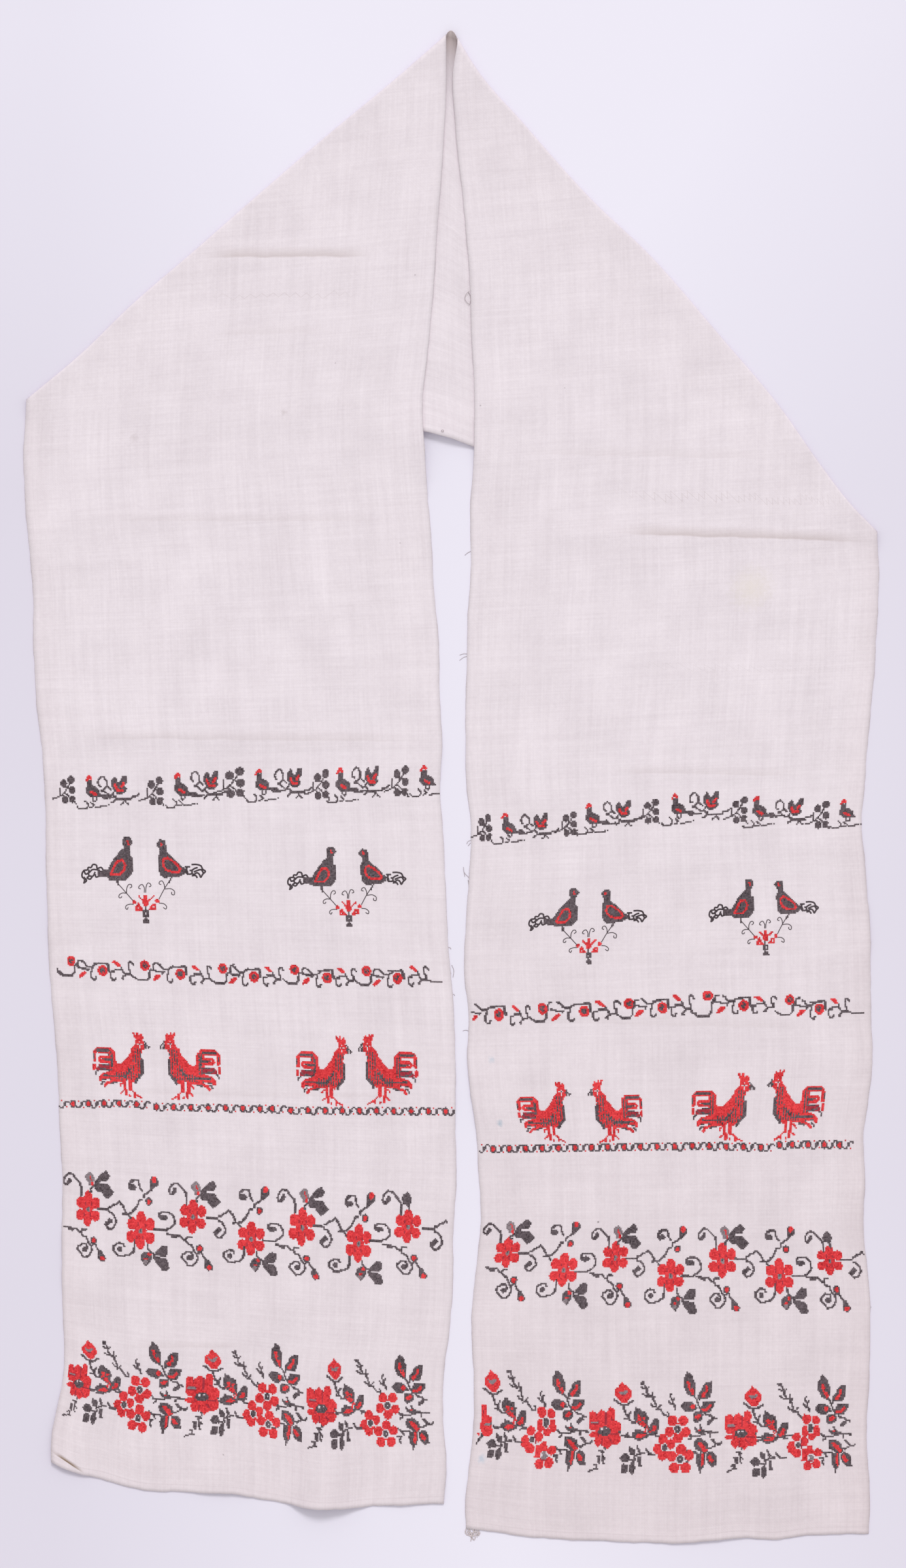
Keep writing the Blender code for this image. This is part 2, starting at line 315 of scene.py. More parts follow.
def thread_tube(middle: np.ndarray, width: float, rise: float) -> tuple[np.ndarray, np.ndarray]:
    """Make a three-sided closed tube along a path, with one corner up.

    Args:
        middle: the path's points.
        width: its width in plan.
        rise: how far its upper corner is above the path, and its lower ones are below.

    Returns:
        Points and three-cornered faces.
    """
    count = len(middle)
    along = np.gradient(middle[:, :2], axis=0)
    along /= np.linalg.norm(along, axis=1, keepdims=True)
    side = np.stack([-along[:, 1], along[:, 0], np.zeros(count)], axis=1) * width / 2
    up = np.array([0, 0, rise])
    points = np.stack([middle - side - up, middle + up, middle + side - up], axis=1)
    index = np.arange(count * 3).reshape(count, 3)
    faces = []
    for first, second in ((0, 1), (1, 2), (2, 0)):
        a, b, c, d = index[:-1, first], index[1:, first], index[1:, second], index[:-1, second]
        faces += [np.stack([a, b, c], axis=1), np.stack([a, c, d], axis=1)]
    ends = np.array([[index[0, 0], index[0, 1], index[0, 2]], [index[-1, 2], index[-1, 1], index[-1, 0]]])
    return points.reshape(-1, 3), np.concatenate(faces + [ends])


# ---- the laid towel ----

class Side(Enum):
    """The towel's two hanging ends, as seen from in front."""

    LEFT = "left"
    RIGHT = "right"


@dataclass(frozen=True)
class BandShape:
    """One end of the towel as it lies: its two edges, its hem, and how far its weft has slewed.

    The sections are rows of up, outer edge and inner edge, in millimetres. The hem is rows of share across, from
    the inner selvedge, and drop below the straight line between its corners. inner_run and outer_run are how far
    a metre of flat cloth reaches along each selvedge.
    """

    side: Side
    sections: tuple[tuple[float, float, float], ...]
    corner: int
    hem: tuple[tuple[float, float], ...]
    hem_inner: float
    hem_outer: float
    inner_run: float
    outer_run: float
    hem_fade: float = 110 * MM

    def edge(self, column: int, up: np.ndarray, last: int | None = None) -> np.ndarray:
        """Read an edge's x at the given heights.

        Args:
            column: 1 for the outer edge and 2 for the inner one.
            up: heights in metres.
            last: the last section used; the edge goes on straight up past it.

        Returns:
            The edge's x in metres.
        """
        table = np.array(self.sections[:last], float) * MM
        return smooth_curve(table[:, 0], table[:, column], up)

    def outer_x(self, up: np.ndarray) -> np.ndarray:
        """The outer selvedge's x, carried straight on above the fold's corner."""
        return self.edge(1, up, self.corner + 1)

    def inner_x(self, up: np.ndarray) -> np.ndarray:
        """The inner selvedge's x."""
        return self.edge(2, up)

    def drop(self, across: np.ndarray) -> np.ndarray:
        """How far the hem hangs below the line between its corners."""
        table = np.array(self.hem, float)
        return smooth_curve(table[:, 0], table[:, 1], across) * MM

    def fold_ends(self) -> tuple[np.ndarray, np.ndarray]:
        """The fold's upper end at the peak, and its lower end at the corner."""
        peak, corner = self.sections[-1], self.sections[self.corner]
        return np.array([peak[1], peak[0]]) * MM, np.array([corner[1], corner[0]]) * MM

    def fold_outward(self) -> np.ndarray:
        """Find the direction that is square to the fold and away from the cloth.

        Returns:
            A unit vector in the plan.
        """
        peak, corner = self.fold_ends()
        along = (corner - peak) / np.linalg.norm(corner - peak)
        square = np.array([-along[1], along[0]])
        return square if square[1] > 0 else -square

    def place(self, across: np.ndarray, above: np.ndarray) -> np.ndarray:
        """Find where a spot of the flat cloth lies: on the straight line between its weft's two selvedge points.

        Args:
            across: share of the width from the inner selvedge.
            above: distance from the hem on the flat cloth, in metres.

        Returns:
            Plan points.
        """
        inner_up = self.hem_inner * MM + above * self.inner_run
        outer_up = self.hem_outer * MM + above * self.outer_run
        inner = np.stack([self.inner_x(inner_up), inner_up], axis=-1)
        outer = np.stack([self.outer_x(outer_up), outer_up], axis=-1)
        plan = blend(inner, outer, across)
        plan[..., 1] -= self.drop(across) * np.exp(-(above / self.hem_fade) ** 2)
        return plan

    def spot(self, plan: np.ndarray) -> tuple[np.ndarray, np.ndarray]:
        """Find the spot of the flat cloth that lies at a plan point, as place() run backwards.

        Args:
            plan: plan points.

        Returns:
            Share of the width from the inner selvedge, and distance from the hem in metres.
        """
        x, up = plan[..., 0], plan[..., 1]
        inner, outer = self.inner_x(up), self.outer_x(up)
        across = (x - inner) / (outer - inner)
        start = (1 - across) * self.hem_inner * MM + across * self.hem_outer * MM
        run = (1 - across) * self.inner_run + across * self.outer_run
        above = (up - start) / run
        drop = self.drop(np.clip(across, 0, 1))
        for _ in range(3):
            above = (up - start + drop * np.exp(-(above / self.hem_fade) ** 2)) / run
        return across, above


LEFT = BandShape(
    Side.LEFT,
    sections=(
        (-708, -394, -7), (-667, -394, -5), (-641, -394, -7), (-609, -388, -8), (-573, -382, -7),
        (-541, -382, -2), (-506, -384, 1), (-448, -384, 2), (-383, -384, 5), (-319, -387, 4), (-254, -390, 4),
        (-203, -395, 1), (-138, -398, -4), (-61, -400, -7), (-3, -401, -11), (36, -404, -9), (81, -409, -11),
        (133, -412, -12), (197, -413, -17), (262, -419, -21), (326, -422, -26), (382, -419, -28),
        (431, -361, -23), (470, -321, -19), (530, -252, -15), (587, -187, -11), (642, -123, -7),
        (696, -58, -5), (742, -5, -5)),
    corner=21,
    hem=((0.0, 0), (0.18, 10), (0.32, 18), (0.42, 16), (0.52, 13), (0.67, 16), (0.78, 18), (0.88, 11),
         (0.93, 9), (1.0, 0)),
    hem_inner=-708, hem_outer=-667, inner_run=1.033, outer_run=0.966)

RIGHT = BandShape(
    Side.RIGHT,
    sections=(
        (-738, 412, 15), (-706, 413, 14), (-667, 411, 18), (-635, 410, 22), (-590, 412, 22), (-506, 413, 21),
        (-473, 410, 25), (-435, 407, 29), (-383, 408, 27), (-344, 407, 25), (-312, 411, 20), (-267, 416, 16),
        (-228, 414, 17), (-183, 414, 13), (-138, 413, 14), (-86, 409, 18), (-35, 405, 19), (4, 408, 15),
        (55, 412, 14), (107, 417, 15), (159, 420, 16), (210, 422, 19), (252, 420, 19), (280, 393, 19),
        (322, 361, 22), (368, 329, 23), (446, 264, 20), (520, 200, 17), (583, 135, 11), (655, 71, 4),
        (713, 22, 2), (739, 6, 6)),
    corner=22,
    hem=((0.0, 0), (0.16, 8), (0.35, 11), (0.57, 11), (0.68, 6), (0.76, 7), (0.86, 2), (1.0, 0)),
    hem_inner=-732, hem_outer=-738, inner_run=0.985, outer_run=1.016)

# The lower selvedge of the back triangle, as x and up
BACK_BASE = ((-419, 382), (-250, 372), (-110, 364), (-28, 354), (-4, 348), (22, 338.5), (110, 320), (260, 286),
             (420, 252))


@dataclass(frozen=True)
class Crease:
    """A soft ridge left by an old pressed fold, in millimetres."""

    x0: float
    up0: float
    x1: float
    up1: float
    height: float
    half_width: float


@dataclass(frozen=True)
class CreaseLine:
    """A line of painted shade along an old pressed fold, in millimetres: its ends, shade and soft upper side."""

    x0: float
    up0: float
    x1: float
    up1: float
    depth: float
    reach: float


@dataclass(frozen=True)
class HemWave:
    """A wave that stands up at a hem and dies away up the band, in millimetres."""

    x: float
    left: float
    right: float
    height: float
    fade: float


# Painted shade along the old creases, each a dark line with a soft darker side above it
CREASE_LINES = (
    CreaseLine(-250, 522, -72, 523, 0.5, 11),
    CreaseLine(-240, 445, -116, 448, 0.10, 11),
    CreaseLine(-357, 262, -58, 262, 0.14, 9),
    CreaseLine(-397, 48, -10, 44, 0.20, 11),
    CreaseLine(-380, -302, -30, -308, 0.10, 11),
    CreaseLine(-332, -555, -195, -553, 0.16, 8),
    # The lower left corner's dark slit is painted shadow under its curled hem, darker than the crease colour
    CreaseLine(-392, -658, -364, -677, 2.2, 4),
    CreaseLine(150, 250, 425, 241, 0.55, 11),
    CreaseLine(60, 328, 330, 323, 0.12, 11),
    CreaseLine(148, 14, 361, 10, 0.18, 9),
    CreaseLine(60, -232, 380, -240, 0.12, 11),
)

# A crease's painted shade is stored with its own reach stretched to this one, in millimetres
SOFT_REACH = 11.0

CREASES = (
    Crease(-239, 521, -131, 525, 1.5, 14),
    Crease(-357, 264, -58, 264, 0.6, 15),
    Crease(-397, 50, -10, 46, 1.2, 15),
    Crease(-332, -553, -195, -551, 0.5, 15),
    Crease(71, 250, 417, 242, 1.6, 15),
    Crease(148, 16, 361, 12, 0.7, 15),
)

HEM_WAVES = (
    HemWave(-131, 36, 56, 13.0, 120),
    HemWave(-226, 48, 48, 2.5, 80),
    HemWave(-384, 30, 42, 4.5, 50),
    HemWave(-52, 30, 30, 1.5, 60),
    HemWave(255, 75, 60, 2.0, 70),
)


@dataclass(frozen=True)
class Ripple:
    """One sine over the cloth: its height, its slant, the metres to a radian, and the radians that it starts at."""

    height: float
    slant_x: float
    slant_y: float
    radian: float
    start: float

    def at(self, plan: np.ndarray) -> np.ndarray:
        """The ripple's height at plan points."""
        slant = self.slant_x * plan[..., 0] + self.slant_y * plan[..., 1]
        return self.height * np.sin(slant / self.radian + self.start)


RIPPLES = (
    Ripple(1.0, 1.0, 0.0, 0.041, 1.1),
    Ripple(1.0, 0.0, 1.0, 0.058, 0.4),
    Ripple(0.6, 1.0, 0.7, 0.027, 2.0),
    Ripple(0.4, -0.4, 1.0, 0.019, 0.0),
)


@dataclass
class LaidTowel:
    """Where every part of the towel lies: the two bands, the rolls of the folds and the back triangle."""

    left: BandShape = LEFT
    right: BandShape = RIGHT
    thickness: float = 1.0 * MM
    layer_gap: float = 0.6 * MM
    roll_rise: float = 2.4 * MM
    roll_fade: float = 18 * MM
    peak_rise: float = 4.0 * MM
    peak_fade: float = 62 * MM
    peak_arch: float = 11.0 * MM
    peak_lip: float = 5.0 * MM
    lip_fade: float = 3.5 * MM
    step_start: float = 3.0 * MM
    step_reach: float = 25 * MM
    fold_fade: float = 80 * MM
    fan_power: int = 3
    crease_fade: float = 0.2
    line_fade: float = 0.25
    least_wave: float = 0.05 * MM
    swell_height: float = 1.1 * MM
    swell_threshold: float = 0.45
    back_lift: tuple[float, float, float, float] = (-16 * MM, 335 * MM, 9.0 * MM, 58 * MM)
    columns: int = 72
    band_rows: int = 210
    evenness: float = 0.55
    close_rows: tuple[float, ...] = (8.0, 5.0, 3.0, 1.6, 0.7, 0.0)
    roll_rows: int = 10
    back_rows: int = 60
    selvedge_wander: float = 0.5 * MM
    hem_wander: float = 0.6 * MM
    wander_seeds: tuple[int, int, int] = (11, 23, 37)
    wander_lengths: tuple[float, float, float] = (0.09, 0.11, 0.05)
    shift: tuple[float, float, float] = (0.0, 1.15 * MM, 0.0)

    def base_up(self, x: np.ndarray) -> np.ndarray:
        """Height of the back triangle's lower selvedge at each x."""
        table = np.array(BACK_BASE, float) * MM
        return smooth_curve(table[:, 0], table[:, 1], x)

    def slack_lift(self, plan: np.ndarray) -> np.ndarray:
        """How far the cloth stands up about the back triangle's slack selvedge: one mound."""
        x, up, height, reach = self.back_lift
        return height * mound(np.hypot(plan[..., 0] - x, plan[..., 1] - up) / reach)

    def back_height(self, plan: np.ndarray) -> np.ndarray:
        """Height of the middle of the back triangle's cloth: flat, but for its slack selvedge."""
        return self.thickness / 2 + self.slack_lift(plan)

    def cover(self, plan: np.ndarray) -> np.ndarray:
        """1 where a band lies on the back triangle, easing to 0 where it has come down past it."""
        below = self.base_up(plan[..., 0]) - plan[..., 1]
        return 1 - ease((below - self.step_start) / self.step_reach)

    def lay_rise(self, band: BandShape, plan: np.ndarray) -> np.ndarray:
        """How far a band is above the back triangle: one layer, and more near the soft fold and the peak.

        Args:
            band: which band.
            plan: plan points.

        Returns:
            Heights in metres.
        """
        peak, _ = band.fold_ends()
        depth = -(plan - peak) @ band.fold_outward()
        roll = np.exp(-(depth / self.roll_fade) ** 2)
        near_peak = np.exp(-(np.linalg.norm(plan - peak, axis=-1) / self.peak_fade) ** 2)
        return self.thickness + self.layer_gap + self.roll_rise * roll + self.peak_rise * near_peak

    def creases(self, plan: np.ndarray) -> np.ndarray:
        """Height of the soft ridges: a mound across each line, fading out at its ends.

        Args:
            plan: plan points.

        Returns:
            Heights in metres.
        """
        height = np.zeros(plan.shape[:-1])
        for crease in CREASES:
            along = (plan[..., 0] / MM - crease.x0) / (crease.x1 - crease.x0)
            line = crease.up0 + (crease.up1 - crease.up0) * np.clip(along, 0, 1)
            ends = ease(along / self.crease_fade) * ease((1 - along) / self.crease_fade)
            height += crease.height * MM * ends * mound((plan[..., 1] / MM - line) / crease.half_width)
        return height

    def crease_lines(self, plan: np.ndarray) -> tuple[np.ndarray, np.ndarray]:
        """Find the nearest crease line to each point.

        Args:
            plan: plan points.

        Returns:
            How far above the line each point is, against a reach of SOFT_REACH millimetres, and the line's depth
            there, which fades at its ends.
        """
        far, spare = 1000.0, 0.2
        nearest = np.full(plan.shape[:-1], far)
        depth = np.zeros(plan.shape[:-1])
        for line in CREASE_LINES:
            along = (plan[..., 0] / MM - line.x0) / (line.x1 - line.x0)
            off = (plan[..., 1] / MM - line.up0 - (line.up1 - line.up0) * along) * SOFT_REACH / line.reach
            closer = (np.abs(off) < np.abs(nearest)) & (along > -spare) & (along < 1 + spare)
            nearest = np.where(closer, off, nearest)
            ends = ease(along / self.line_fade) * ease((1 - along) / self.line_fade)
            depth = np.where(closer, line.depth * ends, depth)
        return nearest, depth

    def hem_waves(self, plan: np.ndarray, above: np.ndarray) -> np.ndarray:
        """Height of the waves at the hems, each a mound with a steeper and a gentler side.

        Args:
            plan: plan points.
            above: each point's distance from the hem.

        Returns:
            Heights in metres.
        """
        height = np.zeros(plan.shape[:-1])
        for wave in HEM_WAVES:
            offset = plan[..., 0] / MM - wave.x
            reach = np.where(offset < 0, wave.left, wave.right)
            height += wave.height * MM * mound(offset / reach) * np.exp(-(above / (wave.fade * MM)) ** 2)
        return np.where(height > self.least_wave, height, 0.0)

    def swells(self, plan: np.ndarray) -> np.ndarray:
        """Wide low swells: the square of what stands above a threshold, and level elsewhere.

        What stands is the product of the first two ripples, and the two slanting ones added to it.

        Args:
            plan: plan points.

        Returns:
            Heights in metres.
        """
        across, up, first, second = (ripple.at(plan) for ripple in RIPPLES)
        above = np.clip(across * up + first + second - self.swell_threshold, 0.0, 1.0)
        return self.swell_height * above ** 2

    def front_height(self, band: BandShape, plan: np.ndarray, above: np.ndarray) -> np.ndarray:
        """Height of the middle of a band's cloth: the surface, what it lies on, and its unevenness.

        Args:
            band: which band.
            plan: plan points.
            above: each point's distance from the hem.

        Returns:
            Heights in metres.
        """
        covered = self.cover(plan)
        uneven = self.creases(plan) + self.hem_waves(plan, above) + (1 - covered) * self.swells(plan)
        return self.back_height(plan) + covered * self.lay_rise(band, plan) + uneven

    def fold_line(self, band: BandShape, across: np.ndarray) -> np.ndarray:
        """Plan points where the flat cloth meets the roll, which stands out to the towel's edge.

        Args:
            band: which band.
            across: share of the width from the inner selvedge.

        Returns:
            Plan points, one for each share.
        """
        peak, corner = band.fold_ends()
        table = np.array(band.sections[band.corner:], float)[:, [1, 0]] * MM
        table = table[np.argsort(table[:, 0])]
        x = peak[0] + (corner[0] - peak[0]) * across
        line = np.stack([x, smooth_curve(table[:, 0], table[:, 1], x)], axis=-1)
        radius = (self.lay_rise(band, line) + self.thickness) / 2
        line[:, 1] -= radius / band.fold_outward()[1]
        return line

    def stations(self, band: BandShape) -> np.ndarray:
        """Distance of each row above the hem along the inner selvedge, closer together near the hem and the fold."""
        length = band.fold_ends()[0][1] - band.hem_inner * MM
        close = length - np.array(self.close_rows) * MM
        t = np.linspace(0, 1, self.band_rows + 1)
        return np.concatenate([close[0] * (self.evenness * t + (1 - self.evenness) * t**2), close[1:]])

    def band_surface(self, band: BandShape) -> np.ndarray:
        """Middle surface of a band from hem to fold: rows swing from the hem's line to the fold's.

        Args:
            band: which band.

        Returns:
            Grid of points, a row for each station and a column for each share across.
        """
        across = np.linspace(0, 1, self.columns + 1)
        above = self.stations(band)
        _, corner = band.fold_ends()
        inner_length, outer_length = above[-1], corner[1] - band.hem_outer * MM
        share, rate = above / inner_length, inner_length / outer_length
        inner_up = band.hem_inner * MM + above
        outer_up = band.hem_outer * MM + outer_length * (rate * share + (1 - rate) * share**2)
        uneven = self.selvedge_wander * (1 - np.exp(-((inner_length - above) / self.fold_fade) ** 2))
        seeds = [seed + len(band.sections) for seed in self.wander_seeds]
        inner_x = band.inner_x(inner_up) + uneven * wander(above, seeds[0], self.wander_lengths[0])
        outer_x = band.outer_x(outer_up) + uneven * wander(above, seeds[1], self.wander_lengths[1])
        inner = np.stack([inner_x, inner_up], axis=-1)
        outer = np.stack([outer_x, outer_up], axis=-1)
        plan = blend(inner[:, None, :], outer[:, None, :], across[None, :])
        plan[..., 1] -= band.drop(across)[None, :] * np.exp(-(above / band.hem_fade) ** 2)[:, None]
        ragged = self.hem_wander * wander(across * CLOTH_WIDTH, seeds[2], self.wander_lengths[2])
        plan[..., 1] += ragged[None, :] * np.exp(-(above / self.roll_fade) ** 2)[:, None]
        shift = self.fold_line(band, across) - plan[-1]
        near_fold = np.exp(-((inner_length - above) / self.fold_fade) ** 2)
        plan += shift[None, :, :] * near_fold[:, None, None]
        height = self.front_height(band, plan, above[:, None] * np.ones_like(across))
        return np.concatenate([plan, height[..., None]], axis=-1)

    def roll_surface(self, band: BandShape, top: np.ndarray) -> np.ndarray:
        """Half turn of the cloth about the fold: a half circle square to the fold, which each thread crosses upwards.

        Args:
            band: which band.
            top: heights of the band's last row.

        Returns:
            Grid of points from the band's last row down to the back.
        """
        across = np.linspace(0, 1, self.columns + 1)
        line = self.fold_line(band, across)
        bottom = self.back_height(line)
        radius = (top - bottom) / 2
        turn = np.linspace(0, pi, self.roll_rows + 1)[:, None]
        plan = line[None] + np.array([0.0, 1.0]) * (radius / band.fold_outward()[1] * np.sin(turn))[..., None]
        height = bottom + radius + radius * np.cos(turn)
        return np.concatenate([plan, height[..., None]], axis=-1)

    def back_surface(self) -> np.ndarray:
        """Back triangle: rows fan about the peak from the left fold to the right one, closer at both.

        The upper selvedge is a half ellipse with a lip, which dies away down the cloth.

        Returns:
            Grid of points, a row for each step about the peak and a column for each share down the cloth.
        """
        across = np.linspace(0, 1, self.columns + 1)
        turn = 0.5 - 0.5 * np.cos(np.linspace(0, pi, self.back_rows + 1))
        first, last = self.fold_line(self.left, across), self.fold_line(self.right, across)
        top = blend(first[0], last[0], turn)
        round_share = 2 * np.sqrt(turn * (1 - turn))
        top[:, 1] += self.peak_arch * round_share
        base_x = first[-1, 0] + (last[-1, 0] - first[-1, 0]) * turn
        base = np.stack([base_x, self.base_up(base_x)], axis=-1)
        base += blend(first[-1] - base[0], last[-1] - base[-1], turn)
        plan = blend(top[:, None, :], base[:, None, :], across[None, :])
        power = self.fan_power
        plan += (first - blend(first[0], first[-1], across))[None] * ((1 - turn) ** power)[:, None, None]
        plan += (last - blend(last[0], last[-1], across))[None] * (turn ** power)[:, None, None]
        distance = np.linalg.norm(plan - plan[:, :1], axis=-1)
        lip = self.peak_lip * round_share[:, None] * np.exp(-(distance / self.lip_fade) ** 2)
        return np.concatenate([plan, (self.back_height(plan) + lip)[..., None]], axis=-1)

    def on_front(self, band: BandShape, plan: np.ndarray, above: np.ndarray, lift: np.ndarray) -> np.ndarray:
        """Set plan points on a band's face.

        Args:
            band: which band.
            plan: plan points of the laid towel.
            above: each point's distance from the hem.
            lift: height above the middle of the cloth.

        Returns:
            Points in the part's frame.
        """
        height = self.front_height(band, plan, above) + lift
        return np.concatenate([plan, height[..., None]], axis=-1) + self.shift


# ---- linen ----

# Charts are counted in threads of 0.645 mm, which is one pixel of the photograph, from its upper left corner. The
# shape tables' origin is at CHART_MIDDLE. On the cloth's flat map the left end starts at 0 m, and the back triangle
# and the right end start further along.
CHART_THREAD = 0.645 * MM
CHART_MIDDLE = (690.3, 1203.4)
BACK_START = 2.0
RIGHT_START = 4.0


def flat_spot(x: float, y: float) -> tuple[float, float]:
    """Find the flat cloth coordinates of a chart point.

    Args:
        x: chart threads to the right.
        y: chart threads down.

    Returns:
        Metres across and along the flat map.
    """
    band = LEFT if x < CHART_MIDDLE[0] else RIGHT
    across, above = band.spot(np.array([[x - CHART_MIDDLE[0], CHART_MIDDLE[1] - y]]) * CHART_THREAD)
    return float(across[0]) * CLOTH_WIDTH, float(above[0]) + (0.0 if band is LEFT else RIGHT_START)


@dataclass(frozen=True)
class Stain:
    """A small mark on the cloth: its place in chart threads, its radius in millimetres, colour and strength."""

    x: float
    y: float
    reach: float
    colour: str
    strength: float


STAINS = (
    Stain(765, 1719, 5.0, "9fb4c4", 0.75),
    Stain(737, 2233, 7.0, "b9c6d6", 0.7),
    Stain(752, 1622, 5.0, "c3cbd8", 0.6),
    Stain(205, 670, 6.0, "b9acae", 0.35),
    Stain(435, 631, 5.0, "b5a8a8", 0.35),
    Stain(1150, 900, 30.0, "e6dcc9", 0.35),
    Stain(635, 421, 1.2, "7d6f73", 0.6),
    Stain(612, 831, 1.2, "7d6f73", 0.6),
    Stain(735, 621, 1.2, "85777b", 0.6),
    Stain(864, 594, 1.2, "85777b", 0.5),
    Stain(513, 556, 1.2, "85777b", 0.5),
    Stain(342, 2226, 1.4, "85777b", 0.6),
    Stain(915, 1870, 1.6, "5d4f54", 0.8),
)


@dataclass(frozen=True)
class Streak:
    """Uneven tone from the spinning: waves to a metre across and along the cloth, detail, and share of the tone."""

    across: float
    along: float
    detail: float
    share: float


STREAKS = (
    Streak(640, 14, 3, 0.22),
    Streak(14, 640, 3, 0.22),
    Streak(150, 7, 2, 0.22),
    Streak(7, 150, 2, 0.16),
    Streak(300, 300, 2, 0.2),
    Streak(22, 16, 3, 0.34),
)


@dataclass(frozen=True)
class LinenFinish:
    """Hand-woven bleached linen in plain weave: matt and pale, with thread by thread unevenness both ways.

    Lengths are in millimetres where the name says so, and else in metres on the cloth's flat map.
    """

    name: str = "hand_woven_linen"
    pale: str = "f6ecf2"
    dull: str = "d9ced4"
    falloff_shade: str = "f6f3f2"
    crease_shade_colour: str = "bfb0ae"
    line_dark: str = "8e8082"
    contrast: float = 2.0
    grain_roughness: float = 0.6
    roughness: float = 0.92
    specular: float = 0.2
    falloff_reach: float = 0.85
    beside_reach: float = 0.03
    beside_falloff: float = 0.45
    left_falloff: float = 0.62
    between_ends: tuple[float, float] = (1.8, 3.8)
    crease_rim: tuple[float, float] = (-1.2, 0.6)
    wobble_waves: float = 40.0
    wobble_mm: float = 2.0
    selvedge_mm: float = 0.8
    selvedge_tone: float = 0.36
    hem_mm: float = 7.0
    seam_half_mm: float = 0.5
    seam_tone: float = 0.16
    broken_waves: float = 260.0
    stain_waves: float = 300.0
    stain_ragged: float = 0.9
    stain_core: float = 0.5
    stain_rim: float = 1.3
    thread_mm: float = 1.25
    weave_share: float = 0.12
    line_sink: float = 0.25
    crease_sink: float = 0.8
    relief_strength: float = 0.5
    relief_mm: float = 0.5

    def tone(self, shading: Shading, flat: Socket) -> Socket:
        """Add up the streaks of single threads, the wider streaks and the slow clouds.

        Args:
            shading: the material's nodes.
            flat: the flat map.

        Returns:
            The tone, around 0.
        """
        tone = None
        for streak in STREAKS:
            place = shading.add("ShaderNodeMapping", {"Vector": flat, "Scale": (streak.across, streak.along, 1.0)})
            grain = shading.noise(place, 1.0, streak.detail, self.grain_roughness)
            part = shading.calc("MULTIPLY_ADD", grain, streak.share, -streak.share / 2)
            tone = part if tone is None else shading.calc("ADD", tone, part)
        return tone

    def light_falloff(self, shading: Shading, across: Socket, above: Socket, from_hem: Socket) -> Socket:
        """Share of painted fall-off of light: most at the hems, some beside the outer selvedges, less on the left
        end.

        Args:
            shading: the material's nodes.
            across: place across the flat map.
            above: place along the flat map.
            from_hem: distance from the nearest hem.

        Returns:
            The share.
        """
        near_hem = shading.ramp(from_hem, 0.0, self.falloff_reach, 1.0, 0.0)
        beside = shading.ramp(across, CLOTH_WIDTH - self.beside_reach, CLOTH_WIDTH, 0.0, self.beside_falloff)
        which = shading.ramp(above, *self.between_ends, self.left_falloff, 1.0)
        return shading.calc("MULTIPLY", shading.calc("ADD", near_hem, beside), which)

    def fold(self, shading: Shading, flat: Socket) -> Socket:
        """Draw the painted crease shade: a dark line with a soft dark side above it, at the place stored in the mesh.

        Args:
            shading: the material's nodes.
            flat: the flat map.

        Returns:
            The depth of the painted shade.
        """
        wobble = shading.calc("MULTIPLY_ADD", shading.noise(flat, self.wobble_waves), 2 * self.wobble_mm,
                              -self.wobble_mm)
        off = shading.calc("ADD", shading.stored("crease_off"), wobble)
        low, high = self.crease_rim
        shape = shading.calc("MULTIPLY", shading.ramp(off, low, high), shading.ramp(off, high, SOFT_REACH, 1.0, 0.0))
        return shading.calc("MULTIPLY", shape, shading.stored("crease_shade_depth"))

    def lines(self, shading: Shading, flat: Socket, across: Socket, from_hem: Socket) -> Socket:
        """Broken darker lines: the closer threads of both selvedges, and the hem's sewing at its turning's depth.

        Args:
            shading: the material's nodes.
            flat: the flat map.
            across: place across the flat map.
            from_hem: distance from the nearest hem.

        Returns:
            The lines' depth.
        """
        inner = shading.calc("MINIMUM", across, shading.calc("SUBTRACT", CLOTH_WIDTH, across))
        edge = shading.ramp(inner, 0.0, self.selvedge_mm * MM, self.selvedge_tone, 0.0)
        broken = shading.noise(flat, self.broken_waves)
        seam = shading.calc("COMPARE", from_hem, self.hem_mm * MM, self.seam_half_mm * MM)
        seam = shading.calc("MULTIPLY", shading.calc("MULTIPLY", seam, broken), self.seam_tone)
        return shading.calc("MAXIMUM", shading.calc("MULTIPLY", edge, broken), seam)

    def stained(self, shading: Shading, flat: Socket, colour: Socket) -> Socket:
        """Lay the stains over the colour, each a round spot with a ragged soft rim.

        Args:
            shading: the material's nodes.
            flat: the flat map.
            colour: the clean cloth's colour.

        Returns:
            The stained colour.
        """
        for stain in STAINS:
            gap = shading.add("ShaderNodeVectorMath", {0: flat, 1: (*flat_spot(stain.x, stain.y), 0.0)}, "Value",
                              operation="DISTANCE")
            reach = stain.reach * MM
            ragged = shading.noise(flat, self.stain_waves)
            ragged = shading.calc("MULTIPLY_ADD", ragged, reach * self.stain_ragged, gap)
            share = shading.ramp(ragged, reach * self.stain_core, reach * self.stain_rim, stain.strength, 0.0)
            colour = shading.mix(share, colour, linear(stain.colour))
        return colour

    def relief(self, shading: Shading, across: Socket, above: Socket, layers: tuple[Socket, ...]) -> Socket:
        """Raise the weave, two crossing sines, and sink the lines and the creases.

        Real threads are 0.6 mm apart, too fine to show, so the weave is drawn about twice as coarse.

        Args:
            shading: the material's nodes.
            across: place across the flat map.
            above: place along the flat map.
            layers: the tone, the lines and the creases.

        Returns:
            The bumped normal.
        """
        tone, lines, fold = layers
        waves = [shading.calc("SINE", shading.calc("MULTIPLY", axis, pi / (self.thread_mm * MM)))
                 for axis in (across, above)]
        height = shading.calc("MULTIPLY_ADD", shading.calc("MULTIPLY", *waves), self.weave_share, tone)
        height = shading.calc("MULTIPLY_ADD", lines, -self.line_sink, height)
        height = shading.calc("MULTIPLY_ADD", fold, -self.crease_sink, height)
        return shading.add("ShaderNodeBump", {"Strength": self.relief_strength, "Distance": self.relief_mm * MM,
                                              "Height": height}, "Normal")

